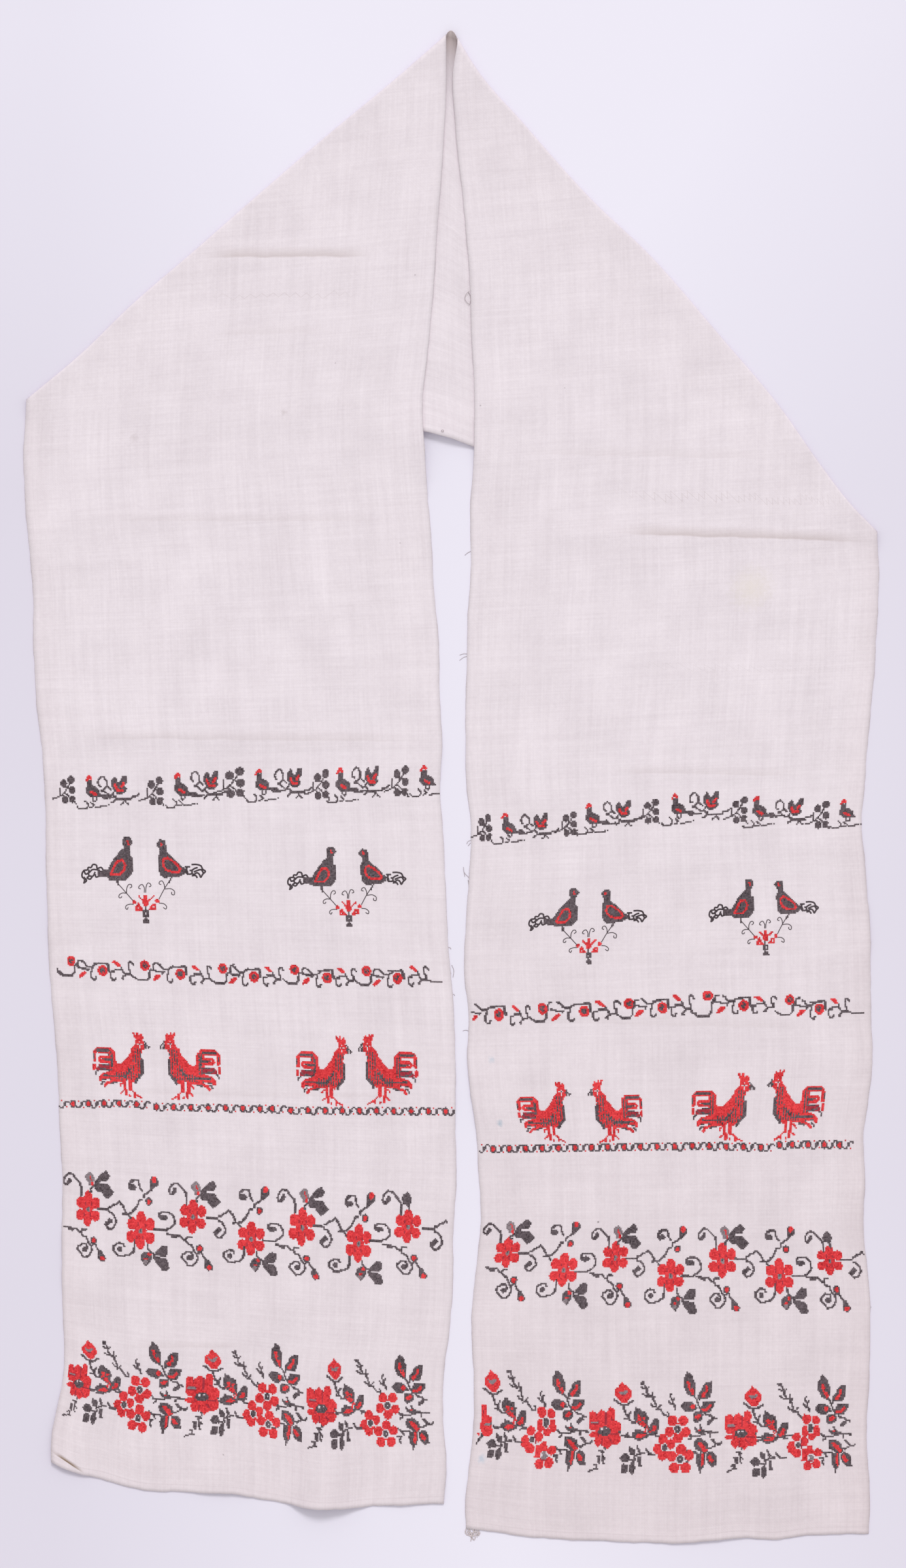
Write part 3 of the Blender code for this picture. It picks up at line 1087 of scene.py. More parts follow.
    def material(self) -> bpy.types.Material:
        """Build the linen on the flat map: tone, painted fall-off and crease shade, selvedges, hem sewing and stains.

        Returns:
            The material.
        """
        shading = Shading(self.name)
        flat = shading.add("ShaderNodeUVMap", output="UV", uv_map="flat")
        across, above = (shading.add("ShaderNodeSeparateXYZ", {0: flat}, axis) for axis in ("X", "Y"))
        from_hem = shading.calc("MODULO", above, RIGHT_START)
        tone, fold = self.tone(shading, flat), self.fold(shading, flat)
        lines = self.lines(shading, flat, across, from_hem)
        level = shading.calc("MULTIPLY_ADD", tone, self.contrast, 0.5, clamp=True)
        colour = shading.mix(level, linear(self.dull), linear(self.pale))
        # Painted shade where the light falls off: darker towards the hems and the outer selvedges
        colour = shading.mix(self.light_falloff(shading, across, above, from_hem), colour, linear(self.falloff_shade),
                             blend_type="MULTIPLY", clamp_factor=False)
        # Painted shade at the creases and in the slot below the peak, allowed to go past the crease colour
        colour = shading.mix(fold, colour, linear(self.crease_shade_colour), clamp_factor=False)
        colour = shading.mix(lines, colour, linear(self.line_dark))
        colour = self.stained(shading, flat, colour)
        bump = self.relief(shading, across, above, (tone, lines, fold))
        return shading.finish(colour, self.roughness, self.specular, bump)


@dataclass
class LinenCloth:
    """The towel's cloth: a thin closed sheet on the laid shape, with a thicker turned hem at each end."""

    towel: LaidTowel
    finish: LinenFinish = field(default_factory=LinenFinish)
    thickness: float = 0.7 * MM
    hem_width: float = 7.0 * MM
    hem_extra: float = 0.5 * MM
    hem_step: float = 1.2 * MM
    roll_map: float = 6 * MM
    rim_map: tuple[float, float] = (CLOTH_WIDTH / 2, 0.1)
    slot_half: float = 9.0 * MM
    slot_fade: float = 24.0 * MM
    slot_shade_depth: float = 0.95
    slot_off: float = 1.5

    def surfaces(self) -> tuple[list[np.ndarray], list[np.ndarray], list[np.ndarray]]:
        """Work out the five runs of the strip, their flat maps and their extra hem thickness.

        Returns:
            The grids of points, the grids of flat coordinates and the grids of extra thickness.
        """
        towel = self.towel
        runs = []
        for band in (towel.left, towel.right):
            face = towel.band_surface(band)
            roll = towel.roll_surface(band, face[-1, :, 2])
            hem = self.hem_extra * (1 - ease((towel.stations(band) - self.hem_width) / self.hem_step))
            turn = np.linspace(0, 1, len(roll))[:, None, None]
            around = self.flat_map(band, roll[0][None, :, :2] + turn * (0.0, self.roll_map))
            parts = [(face, self.flat_map(band, face[..., :2]), np.repeat(hem[:, None], face.shape[1], axis=1)),
                     (roll, around, np.zeros(roll.shape[:2]))]
            runs += parts if band is towel.left else [
                tuple(grid[::-1] for grid in part) for part in reversed(parts)]
        back = towel.back_surface()
        from_base = np.linalg.norm((back - back[:, -1:])[..., :2], axis=-1)
        back_map = np.stack([from_base, back[..., 0] + BACK_START], axis=-1)
        runs.insert(2, (back, back_map, np.zeros(back.shape[:2])))
        return tuple(list(grids) for grids in zip(*runs))

    def flat_map(self, band: BandShape, plan: np.ndarray) -> np.ndarray:
        """Find the flat cloth coordinates of a band's plan points; the right end's start further along.

        Args:
            band: which band.
            plan: plan points.

        Returns:
            Metres across and along the flat map.
        """
        across, above = band.spot(plan)
        start = 0.0 if band.side is Side.LEFT else RIGHT_START
        return np.stack([across * CLOTH_WIDTH, above + start], axis=-1)

    def painted_shades(self, whole: np.ndarray, hidden: slice) -> dict[str, np.ndarray]:
        """Store the creases' painted shade in the mesh, and the painted shade in the slot below the peak.

        Args:
            whole: the sheet's middle surface.
            hidden: the rows that lie on the folds and the back, which have no crease lines.

        Returns:
            Each stored number's name, and its value at each vertex of both sides.
        """
        off, depth = self.towel.crease_lines(whole[..., :2])
        depth[hidden] = 0.0
        below = self.towel.left.fold_ends()[0][1] - whole[..., 1]
        # Painted shade in the slot below the peak, darkest at its top
        slot = np.zeros(depth.shape, bool)
        slot[hidden] = ((np.abs(whole[..., 0]) < self.slot_half) & (below < 3 * self.slot_fade))[hidden]
        depth[slot] = self.slot_shade_depth * np.exp(-(below[slot] / self.slot_fade) ** 2)
        off[slot] = self.slot_off
        return {"crease_off": np.tile(off.ravel(), 2), "crease_shade_depth": np.tile(depth.ravel(), 2)}

    def build(self) -> bpy.types.Object:
        """Join the runs into one closed sheet: each grid moved half the thickness along its normals, both ways.

        Returns:
            The cloth.
        """
        grids, maps, extras = self.surfaces()
        whole = np.concatenate([grids[0]] + [grid[1:] for grid in grids[1:]])
        extra = np.concatenate([extras[0]] + [grid[1:] for grid in extras[1:]])
        normal = np.cross(np.gradient(whole, axis=0), np.gradient(whole, axis=1))
        normal /= np.linalg.norm(normal, axis=-1, keepdims=True)
        face_points = whole + normal * (self.thickness / 2 + extra[..., None])
        reverse_points = whole - normal * self.thickness / 2
        points = np.concatenate([face_points.reshape(-1, 3), reverse_points.reshape(-1, 3)]) + self.towel.shift
        points[:, 2] = np.maximum(points[:, 2], 0.0)

        rows, columns = whole.shape[:2]
        index = np.arange(rows * columns).reshape(rows, columns)
        corners = ((0, 0), (1, 0), (1, 1), (0, 1))
        face = np.stack([index[i:rows - 1 + i, j:columns - 1 + j] for i, j in corners], axis=-1).reshape(-1, 4)
        face_uv = np.concatenate([
            np.stack([m[i:len(m) - 1 + i, j:columns - 1 + j] for i, j in corners], axis=-2).reshape(-1, 4, 2)
            for m in maps])
        under = index.size
        rim = np.concatenate([index[:, 0], index[-1, 1:], index[-2::-1, -1], index[0, -2::-1]])
        edge = np.stack([rim[1:], rim[:-1], rim[:-1] + under, rim[1:] + under], axis=-1)
        faces = np.concatenate([face, face[:, ::-1] + under, edge])
        uv = np.concatenate([face_uv, face_uv[:, ::-1], np.full((len(edge), 4, 2), self.rim_map)])
        cloth = make_piece("linen_towel", points, faces, [self.finish.material()], uv=uv,
                           numbers=self.painted_shades(whole, slice(len(grids[0]), len(whole) - len(grids[-1]))),
                           flat_faces=np.arange(len(faces)) >= 2 * len(face))
        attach(cloth, BODY)
        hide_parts(CLOTH_NODE)
        LOG.info("linen: %d faces", len(faces))
        return cloth


# ---- charts ----

class Thread(IntEnum):
    """What a cell of the counted cloth holds."""

    BARE = 0
    RED = 1
    BLACK = 2
    GREY = 3
    CRIMSON = 4


class Form(Enum):
    """The shapes that a motif is charted from, with their numbers."""

    OVAL = "oval"    # x, y, half width, half height
    LINE = "line"    # width, then points
    AREA = "area"    # corner points
    FLECK = "fleck"  # corner points of an area of broken upright lines
    FINE = "fine"    # width, then points of a smooth backstitched line


@dataclass(frozen=True)
class Mark:
    """One shape of a motif, in chart threads to the right and down."""

    thread: Thread
    form: Form
    numbers: tuple[float, ...]

    def points(self) -> np.ndarray:
        """Take the shape's points out of its numbers.

        Returns:
            The points, without widths.
        """
        if self.form is Form.OVAL:
            return np.array([self.numbers[:2]])
        numbers = self.numbers[1:] if self.form in (Form.LINE, Form.FINE) else self.numbers
        return np.array(numbers, float).reshape(-1, 2)

    def margin(self) -> float:
        """How far the shape reaches past its points, and one thread more."""
        reach = {Form.OVAL: max(self.numbers[-2:]), Form.LINE: self.numbers[0] / 2}
        return reach.get(self.form, 0.0) + 1.0

    def covers(self, x: np.ndarray, y: np.ndarray, column: np.ndarray, row: np.ndarray) -> np.ndarray:
        """Find the cells that the shape takes.

        An oval is where the squares of the two offsets, each over its half axis, come to at most 1. A line is where
        the nearest point of any run is within half the width. An area is where a level ray crosses its outline an
        odd number of times. A fleck is an area's even columns, with 2 of every 11 cells in a column left bare.

        Args:
            x: each cell's place in the motif's chart.
            y: each cell's place down.
            column: each cell's column in the cloth.
            row: each cell's row in the cloth.

        Returns:
            True for each cell that is taken.
        """
        if self.form is Form.OVAL:
            cx, cy, rx, ry = self.numbers
            return ((x - cx) / rx) ** 2 + ((y - cy) / ry) ** 2 <= 1.0
        points = self.points()
        if self.form is Form.LINE:
            taken = np.zeros(x.shape, bool)
            for (x0, y0), (x1, y1) in zip(points[:-1], points[1:]):
                length = max(np.hypot(x1 - x0, y1 - y0), 1e-6)
                along = np.clip(((x - x0) * (x1 - x0) + (y - y0) * (y1 - y0)) / length**2, 0, 1)
                off = np.hypot(x - x0 - along * (x1 - x0), y - y0 - along * (y1 - y0))
                taken |= off <= self.numbers[0] / 2
            return taken
        inside = np.zeros(x.shape, bool)
        for (x0, y0), (x1, y1) in zip(points, np.roll(points, -1, axis=0)):
            if y0 != y1:
                inside ^= ((y0 > y) != (y1 > y)) & (x < x0 + (y - y0) * (x1 - x0) / (y1 - y0))
        if self.form is Form.FLECK:
            return inside & (column % 2 == 0) & ((row * 7 + column * 3) % 11 > 1)
        return inside


@dataclass(frozen=True)
class Motif:
    """A motif as read from the photograph where it stands first, with its anchor.

    Each row of the chart has a thread and a form, and the line's width for a line, then its shapes with commas
    between them. A backslash carries a row on.
    """

    x: float
    y: float
    chart: str

    def cell(self) -> float:
        """Chart threads to one stitch, at the end where the motif was charted."""
        return LEFT_CELL if self.x < CHART_MIDDLE[0] else RIGHT_CELL

    def marks(self) -> list[Mark]:
        """Read the chart's rows into marks.

        Returns:
            The marks, in drawing order.
        """
        marks = []
        for line in self.chart.strip().splitlines():
            head, shapes = line.split(":")
            thread, form, *width = head.split()
            for shape in shapes.split(","):
                numbers = tuple(float(word) for word in width + shape.split())
                marks.append(Mark(Thread[thread.upper()], Form(form), numbers))
        return marks


# A stitch's size in chart threads at each end
LEFT_CELL = 1.9
RIGHT_CELL = 2.0

# Chart rows that two motifs share
CURLED_LEAF = """
        black line 2.7: 767 1902 767 1890 766 1886 763 1883 759 1879 753 1873 747 1872 743 1875 740 1879 739 1884 \
            741 1888
        black area: 746 1878 749 1878 751.6 1882 749 1886 744.6 1889.6 742 1889 743 1885 745 1882"""
FROND = """
        black line 2.8: 793 1917.6 810 1918
        black line 2.7: 811 1921 815 1922 820 1927 822 1931 823 1935 820 1940 816 1944 811 1945 807 1941 805 1938
        black area: 812 1929.6 815 1931 817.4 1934 813 1937.4 809 1941 805 1941 804 1936 808 1933.6"""

MOTIFS = {
    "hen": Motif(901, 1232, """
        black area: 898 1236 906 1236 906 1243 912 1246 917 1250 918 1256 921 1258 921 1261 903 1261 899 1257 896 \
            1255 896 1248 898 1246
        red area: 900 1229 903 1229 906 1232 906 1235 903 1236 899 1235 899 1238 895 1238 896 1235 899 1231
        bare oval: 902 1235.6 1 1
        red line 4: 904 1253 911 1257
        black line 2: 906 1261 906 1265 909 1267 912 1265 912 1261, 903 1268 905 1270 908 1272
        black line 2: 881 1274 884 1277 895 1277 898 1274 898 1270 894 1266, 901 1275 906 1274, 911 1275 927 1273
        black line 2: 931 1272 931 1272
        """),
    "tail": Motif(901, 1232, """
        black area: 919 1257 929 1256 933 1260 930 1263 925 1264 921 1261
        black line 2.3: 932 1262 943 1261
        """),
    "sprig": Motif(954.5, 1238, """
        black line 2.3: 943 1261 948 1258 949 1254 944 1251 940 1252 931 1245, 947 1246 944 1250
        black line 2.3: 929 1245 936 1240 936 1232 932 1227 929 1226 925 1229 923 1234 924 1238 927 1239, \
            937 1240 942 1244
        black line 2.3: 928 1244 930 1244, 928 1246 930 1246, 972 1254 979 1253 983 1250
        black line 2.8: 951 1256.6 971 1256.4
        black line 2: 962 1259 957 1264, 962 1259 967 1264
        black area: 948 1226 951 1229 952 1233 955 1234 958 1229 960 1225 966 1225 966 1235 963 1238 963 1241 966 \
            1243 962 1248 958 1250 951 1250 947 1245 943 1240 943 1232
        red line 4: 948 1238 950 1242 952 1245 959 1245, 958 1240 961 1236
        """),
    "cluster": Motif(996, 1242, """
        black oval: 990 1233 5.4 5.4, 1002.6 1228 5.6 5.2, 1003.4 1242.6 5.5 5.2, 991.4 1255.6 5.2 5, \
            1002.6 1255 4.8 4.8
        black line 2: 1005 1251 1008 1253, 983 1239 983 1249, 971 1254 979 1252 986 1249 991 1245 996 1239 1000 1233
        black line 2: 996 1239 992 1236, 996 1239 1000 1240, 991 1246 996 1249 999 1253, 988 1249 990 1252
        black line 2: 1006 1257 1009 1261
        """),
    "pair": Motif(901, 1448, """
        black area: 873 1358.4 879.6 1358.4 883 1361.6 885 1365 881.6 1370.6 880.4 1374 880.4 1384 884 1386 884 \
            1405.4 880 1411.8 874 1417 849.4 1417 847 1413.6 832.6 1412.8 832.6 1404.2 847.4 1403 850 1398 857 1388 \
            865 1379 871 1374 871 1370 870 1362
        red area: 876 1363 878.6 1363 878.6 1366 880 1369 877 1369
        red line 3.2: 852 1408 857 1399 862 1391 869 1390 873 1397 871 1404 865 1409.6 852 1409.6
        black fine 2.6: 841 1404 838 1400 832 1401 831 1397 826 1396 823 1400 819 1400 818 1403 813 1404 810 1408 \
            810 1413 813 1416 812 1422
        black fine 2.6: 836 1404 831 1403 825 1403 820 1407 815 1409 813 1405, 820 1403 820 1411 825 1412 829 1406
        black fine 2.6: 825 1412 821 1416 817 1414 820 1412, 836 1411 830 1413 829 1409, 812 1413 816 1418 813 1421
        black line 3: 861 1416 862 1423
        black area: 924.6 1361.4 928 1363 932.6 1362.4 934 1373 934 1379.4 939 1383.4 946 1389 951 1394 956 1399.2 \
            961 1401.4 961 1407.6 952.6 1412 942 1413 929.6 1414 924 1410 922 1403 921.4 1386 924 1380.6 924 1374.4 \
            921.4 1371.4 918.8 1368 922.4 1364.6
        red area: 924.6 1365 927 1366 928.6 1370 925 1371
        red line 3.2: 928 1393 930 1388 935 1387 942 1391 949 1396 953.6 1402.6 951 1405.6 940 1405.6 933 1403 929 \
            1398 928 1393
        black fine 2.6: 957 1403 963 1404 964 1410, 960 1399 968 1399, 963 1400 963 1408 970 1408 970 1404 967 1404
        black fine 2.6: 970 1396 978 1396 984 1398 986 1402 990 1405 986 1409 983 1413 981 1409 978 1407 973 1409 \
            970 1408
        black fine 2.6: 970 1404 975 1401 979 1400, 973 1406 978 1404 984 1403 987 1407, 970 1411 976 1411 978 1414
        black line 2: 941 1413 938 1417 937 1420
        black fine 1.3: 862 1422 874 1435 884 1446, 874 1435 875 1427 878 1423 881 1423 882 1426 879 1428
        black fine 1.3: 874 1435 867 1435 863 1438 863 1441 866 1441 867 1439, 884 1450 878 1450 873 1452 872 1455 \
            874 1457 876 1454
        black fine 1.3: 900 1434 900 1427 897 1423 893 1425 892 1428 895 1429, 902 1434 903 1426 906 1421 909 1422 \
            910 1425 907 1426
        black fine 1.3: 938 1417 930 1428 921 1443, 930 1429 929 1422 926 1418 923 1419 922 1422 925 1423
        black fine 1.3: 930 1429 940 1429 944 1432 943 1437 940 1436 940 1433, 921 1448 928 1449 932 1453 931 1456 \
            927 1454
        red area: 899.4 1437 904 1437 904 1442 906 1447 904.6 1452 898.6 1452 897 1448 899 1442
        red line 2: 892 1439 899 1446, 913 1439 905 1446
        red oval: 885 1447 3 2.6, 918.4 1445.4 3 2.8
        red area: 887 1459 887 1453 891 1447 893 1451 898 1457 898 1459, 905 1458 908 1454 911 1449 916.6 1450 917 \
            1457
        bare oval: 891 1455 1.1 1.1, 913 1453 1.1 1.1
        black line 2: 901 1453 901 1458
        black area: 897.4 1458 905.4 1458 905.4 1467 897.4 1467, 897.4 1471 900 1469 904 1469 907 1474 906 1475.4 \
            897.4 1475
        bare oval: 901.4 1463 1.5 1.5
        black line 2: 901 1466 901 1471
        """),
    "arch": Motif(893.5, 1548, """
        black line 2.6: 880 1537 902 1535.4
        black line 4.6: 902.4 1537 903.6 1548
        red oval: 893.5 1548 7.8 8.8
        black oval: 893 1547.6 4.2 4.6
        red oval: 891 1545.4 1.1 1.1, 895 1549.4 1.1 1.1
        """),
    "hook": Motif(869, 1542.4, """
        black line 3: 853 1533.6 857 1535.6 860 1540 863 1542
        black line 2.7: 863 1542.4 872 1542.4 874 1540 878 1539 880 1537
        black line 2.7: 872 1543 871 1549 869 1550 869 1560 872 1562.6 876 1562.6 878 1559
        """),
    "crossing": Motif(943, 1551.5, """
        black line 2.9: 907 1549 907 1557 910 1561 914 1561 916 1557.6
        black line 3: 909 1548 914 1548, 915 1545 928 1545, 933 1551.4 943 1551.4
        black line 3.2: 926.6 1541 928.6 1546
        black line 2.9: 930 1548 933 1551.4, 934 1553 930 1555 927 1558 930 1559
        black line 2.9: 943 1551 943 1545 940 1543 940 1535 943 1532.4 946 1533 949 1537
        red area: 910 1533 913 1531 919 1532 925 1537 926 1540 920 1540 916 1537
        """),
    "rosette": Motif(962, 1536, """
        red oval: 962 1536 8 8
        black oval: 962 1536 4.2 4.2
        red oval: 961 1534 1.1 1.1, 964 1537 1.1 1.1
        """),
    "trough": Motif(957.5, 1557.6, """
        black line 2.3: 943 1551 946 1554 949 1555 951 1557
        black line 3.2: 952 1557.6 964 1557.6
        black line 2.6: 965 1556 968 1553 968 1546 970 1541
        """),
    "curl": Motif(970, 1536, """
        black line 2.6: 970 1541 970 1535 972 1531 976 1530
        """),
    "vine": Motif(978, 1550, """
        black line 2.6: 970 1538 977 1539.4, 989 1541 987 1544
        black line 2.8: 978 1540.8 990 1541
        red area: 971 1554 976 1547 981 1545 985 1546 984 1549 979 1554 972 1556
        """),
    "start": Motif(97, 1492.6, """
        black line 2.3: 86.5 1480 86.6 1486 90 1489 94 1490.6 97 1492.6
        """),
    "run": Motif(661, 1502.6, """
        black line 2.3: 652 1499 656 1500.6 661 1502.6 675 1502.6
        """),
    "rooster": Motif(524, 1604, """
        red area: 518 1597 518 1603 514 1608 511 1611 510 1617 506 1623 503 1627 499 1632 495 1636 489 1636 487 1632 \
            484 1632 484 1660 488 1665 497 1665 503 1662 512 1666 516 1661 522 1655 526 1648 526 1630 525 1622 528 \
            1612 532 1611 531 1600 528 1596 520 1596
        red area: 514.5 1584.6 517 1584.6 518.6 1588 520 1588 520.4 1584.6 522.4 1584.6 523 1589.6 525 1590 525.6 \
            1587.6 528 1587.6 530.6 1593 529 1597 519.6 1597 516.5 1592
        black fleck: 515 1611 527 1611 524 1627 524 1652 516 1660 512 1660 518 1650 520 1640 512 1634 513 1624
        black fleck: 484 1650 498 1650 512 1636 516 1642 514 1660 500 1663 486 1662
        black line 3: 501 1654 505 1650 509 1644
        black line 4: 526 1629 526 1650 522 1656 518 1660 516 1665
        bare line 2: 524 1600 524 1600, 521 1603 522 1603, 526 1603 527 1603, 524 1606 524 1609
        black line 2: 524 1603 524 1603, 532 1600 534 1604 538 1608 537 1610
        black line 3: 532 1605 533 1610
        red line 5: 455 1632 455 1620 459 1614
        red line 9: 461 1615 478 1615
        red line 11: 481 1620 481 1658
        black line 4: 459 1615.4 477 1615.4
        black fleck: 476 1617 483 1617 483 1660 476 1660
        black line 2: 454 1622 454 1629, 482 1622 482 1640
        red line 4: 454 1639 454 1646
        red area: 459 1630 463 1624 477 1624 477 1635.4 463 1635.4
        black line 2: 466 1629 478 1629, 470 1631 478 1631
        bare line 2: 465 1629 465 1629
        crimson area: 457 1645 461 1638.6 478 1638.6 478 1648 458 1648
        black line 2: 467 1639 477 1639, 467 1647 478 1647, 461 1642 464 1646, 466 1645 470 1645
        black line 2: 459 1649 456 1650 455 1655
        red area: 480 1649.6 475 1649.6 466 1652 460 1658 460 1665 463 1666 466 1662 486 1662 486 1649.6
        black line 3.2: 468 1656 500 1657
        black line 2: 466 1662 470 1662, 477 1661 478 1664
        red line 4: 487 1664 478 1666 472 1668 469 1673
        black line 2.6: 487 1666 479 1668
        black line 2: 469 1666 466 1667 464 1671
        red line 4: 499 1662 499 1678
        red line 5: 507 1662 507 1677
        red line 2: 497 1667 493 1669 492 1672, 497 1680 493 1683, 509 1678 514 1683, 506 1686 507 1688, \
            517 1686 524 1690
        red line 4: 501 1678 501 1686
        red line 3: 514 1683 514 1689, 515 1685 519 1687
        """),
    "ring": Motif(470.5, 1700, """
        black oval: 470.5 1700 4.9 6
        red oval: 470.5 1700 3 3.9
        """),
    "cup": Motif(470.5, 1700, """
        black line 2: 475.5 1703.4 477 1705.4 480.5 1705.4 482 1703.4, 485.4 1697 487 1695.2 490 1695.2 491.6 1697
        black oval: 483.6 1700 2.4 3.4
        red line 2: 479.6 1695 479.6 1695, 487 1704.6 487 1704.6
        """),
    "bloom": Motif(776, 1918, """
        red oval: 776.5 1905 6.8 11, 764.5 1909.4 6.6 7.6, 789 1909.4 6.4 7.6, 763.5 1925.4 6.8 7, \
            788.5 1925.4 6.6 7.2
        red oval: 775.5 1928 6.8 12, 776 1918 8.4 9
        bare line 2: 759 1917 767 1917, 785 1918 793 1918
        crimson line 2: 772 1909 772 1912, 782 1910 782 1913, 771 1924 771 1927, 780 1924 780 1927
        grey oval: 776.5 1918 2.8 3.6
        black line 2: 776 1916 776 1918
        """),
    "crown": Motif(776, 1918, CURLED_LEAF + """
        black line 3.4: 766 1885 766 1889
        grey area: 781 1868 785 1871 788.4 1877 787 1884 784 1887.4 779 1887 778 1883 773.6 1877 774 1873.6 778 1870
        red line 2: 782 1874 783 1880
        red oval: 785 1884.6 2 3.4
        black area: 806 1866 808 1866 813.4 1873 809 1879.6 800 1880.4 796 1882 790 1885 789 1881 793 1877 799 1871
        black area: 788 1882 796 1881 798 1884 810 1884 814 1889 820 1895 812 1903 807 1904 803 1900 799 1895 793 \
            1895 788 1892
        black line 2.7: 788 1887 785 1890 782 1892 781 1896 784 1896
        """),
    "bough": Motif(776, 1918, FROND + """
        black line 2.7: 811 1915 815 1914 818 1911 822 1910 827 1906 830 1908
        black line 3: 830 1909 833 1911 835 1915 838 1920
        black line 2.7: 834 1923 841 1922 847 1921 850 1918 854 1914 858 1907 860 1902 864 1902, 842 1923 846 1928, \
            850 1917 854 1915
        black line 2.7: 864 1890 860 1885 859 1879 857 1875 849 1875 845 1877 843 1882, 850 1876 846 1879
        black area: 842 1880 846 1882 852 1881.6 855.4 1885 853 1889.4 846 1890 842 1887
        black line 2.7: 867 1899 867 1895 871 1893 875 1890 880 1887
        black area: 877 1873 880 1869.6 884 1869 887 1871 890.4 1875 890.4 1880 885 1884 880 1888.4 877 1888
        red oval: 883.4 1873.8 3.8 4.6
        black oval: 875 1903.4 5.2 5.4
        red oval: 875 1904 3 3.6
        """),
    "bough_end": Motif(776, 1918, FROND + """
        black line 2.7: 811 1915 815 1914 818 1911 822 1910 827 1906 829 1909
        """),
    "leaflet": Motif(776, 1918, CURLED_LEAF + """
        black area: 775 1872 779 1875 782 1881 781 1887 777 1889.6 770 1888 767 1882 769 1876
        black line 2.7: 778 1889 779 1896
        """),
    "root": Motif(862, 1943, """
        black line 2.7: 850 1958 850 1972 847 1978 844 1980 842 1982 836 1983 834 1985 826 1985 823 1981 819 1977 \
            819 1970 823 1967 827 1964 833 1965 835 1969
        black line 3.4: 848.4 1972 848.4 1976
        black oval: 828.4 1974 3.6 4.4
        black area: 864 1976 870 1974.6 875.4 1979 874 1988 871 1993 867 1998 863 1994 859.4 1988 860 1980.6
        grey oval: 866 1991 3 4
        red oval: 866.6 1986.6 3 1.8, 871.4 1978.4 2.8 3.4
        black line 2.7: 869 1964 869 1970 872 1974, 874 1976 880 1979, 870 1971 873 1976
        black area: 880 1976 888 1965.6 892 1963 898.4 1965 898.4 1975 895 1981 885 1980.6 879 1980
        black area: 876 1979 880 1981 888 1983 895 1984 899 1989.6 900.4 1999 897 2002.6 890 2002.6 886 1997 880 \
            1989 877 1984
        """),
    "shoot": Motif(862, 1943, """
        black line 2.8: 881 1945 900 1945.4
        black line 2.7: 901 1943 905 1942 909 1938 912 1934 911 1925 908 1920 903 1917 893 1917 889 1919 889 1925
        black oval: 895 1925.4 6.8 4.2
        """),
    "trail": Motif(862, 1943, """
        black line 2.7: 900 1948 906 1949 915 1950 919 1950 921 1953 924 1956 927 1956 929 1960 931 1962 935 1963 \
            937 1967 939 1972 943 1977 945 1984
        black line 3.6: 907 1951.6 913 1952.6
        black line 2.7: 945 1984 942 1990 938 1995 931 1996 927 1991 921 1984 922 1979 926 1977 928 1974 935 1975 \
            937 1979 937 1983
        black line 2.7: 927 1955 929 1951 935 1951, 944 1976 948 1974, 950 1974 952 1979 956 1984
        black oval: 932.6 1983.6 4.6 4, 947 1968 5.4 5.8
        red oval: 947 1968 3.4 4
        black area: 955 1985 960 1984 964 1991 967.6 1996 965 2000.6 960 2001.6 955 1998 954.6 1990
        red oval: 961.4 1996.6 4 3.6
        """),
    "bud": Motif(752, 2113, """
        red area: 751 2096.6 755 2101 760 2105 764 2109.6 765.4 2115 765.4 2120 762 2125 759 2130 755 2131 751 2130 \
            747 2125 742 2120 740.6 2115 742 2109 746 2106 749 2101
        grey area: 745.6 2110 749 2113 752 2113.4 757 2110 760 2110 759 2115 753.4 2119.6 748 2116.4
        crimson line 2: 752 2119 755 2119
        black line 3: 740 2126 744 2128 748 2132.6 753 2134 760 2134 764 2130 768 2128
        black line 3: 754 2135 754 2139 756 2144 757 2148
        black line 2.5: 757 2149 760 2151 761 2156 764 2158 767 2162 772 2162, 762 2156 762 2149 765 2145, \
            756 2156 761 2157
        black area: 771 2136.6 774 2139.6 777 2139.6 779 2142.6 784 2144.6 788 2146.6 788.6 2152 791 2153 790 2160 \
            790.6 2170.4 786 2170.4 781 2168 775 2164 771 2160 768.6 2154 768.6 2146 771 2142
        red area: 773 2153 775.6 2149.6 779 2151 780 2155 784 2152.4 786.6 2154 783.6 2160 787.4 2165 785 2168.4 781 \
            2167 777 2163 773 2160.6 776 2157
        black line 2.5: 776 2160 779 2160, 781 2157 782 2159
        black area: 800 2156 806.4 2156.6 806.4 2168 804 2177 800 2181 794 2181 790 2178 789.6 2172 794 2165 797 2159
        red area: 800 2166 803 2168.4 801 2176 796 2179 791.6 2176 796 2173 797.6 2167.4
        black area: 772 2171.6 776 2173 783 2174.6 787 2178 793.4 2180 791 2184.4 783 2188 779 2190.4 772 2189 766.6 \
            2184 766.6 2178 771 2176
        red area: 771.6 2184.6 776 2180 782 2179 788.4 2181 784 2184.6 777 2186.4
        red line 2: 788 2168 790 2172, 785 2176 787 2177, 786 2172 787 2174
        black line 2.5: 800 2181 802 2183 807 2183, 757 2186 762 2186
        black line 2.6: 755 2183 760 2184 766 2184.6
        """),
    "twig": Motif(752, 2113, """
        black area: 774 2098 782.4 2097 782.4 2102.6 777 2102.6
        black line 2.5: 782 2103 784 2107 786 2112 786 2117 789 2120 790 2122, 778 2107 781 2110 784 2110, \
            786 2110 789 2108, 785 2111 785 2115
        black line 2.5: 780 2119 784 2122 790 2123 795 2122 795 2116, 795 2122 797 2126 799 2123, \
            795 2129 798 2130, 797 2126 798 2130 799 2136
        black line 2.5: 785 2123 793 2124, 793 2137 796 2141 801 2141 801 2137, 801 2146 805 2143 808 2139, \
            805 2143 808 2146 811 2151
        black line 2.5: 811 2151 815 2156 821 2157 821 2153 819 2150, 798 2142 801 2142, 796 2125 796 2128, \
            803 2145 808 2145
        """),
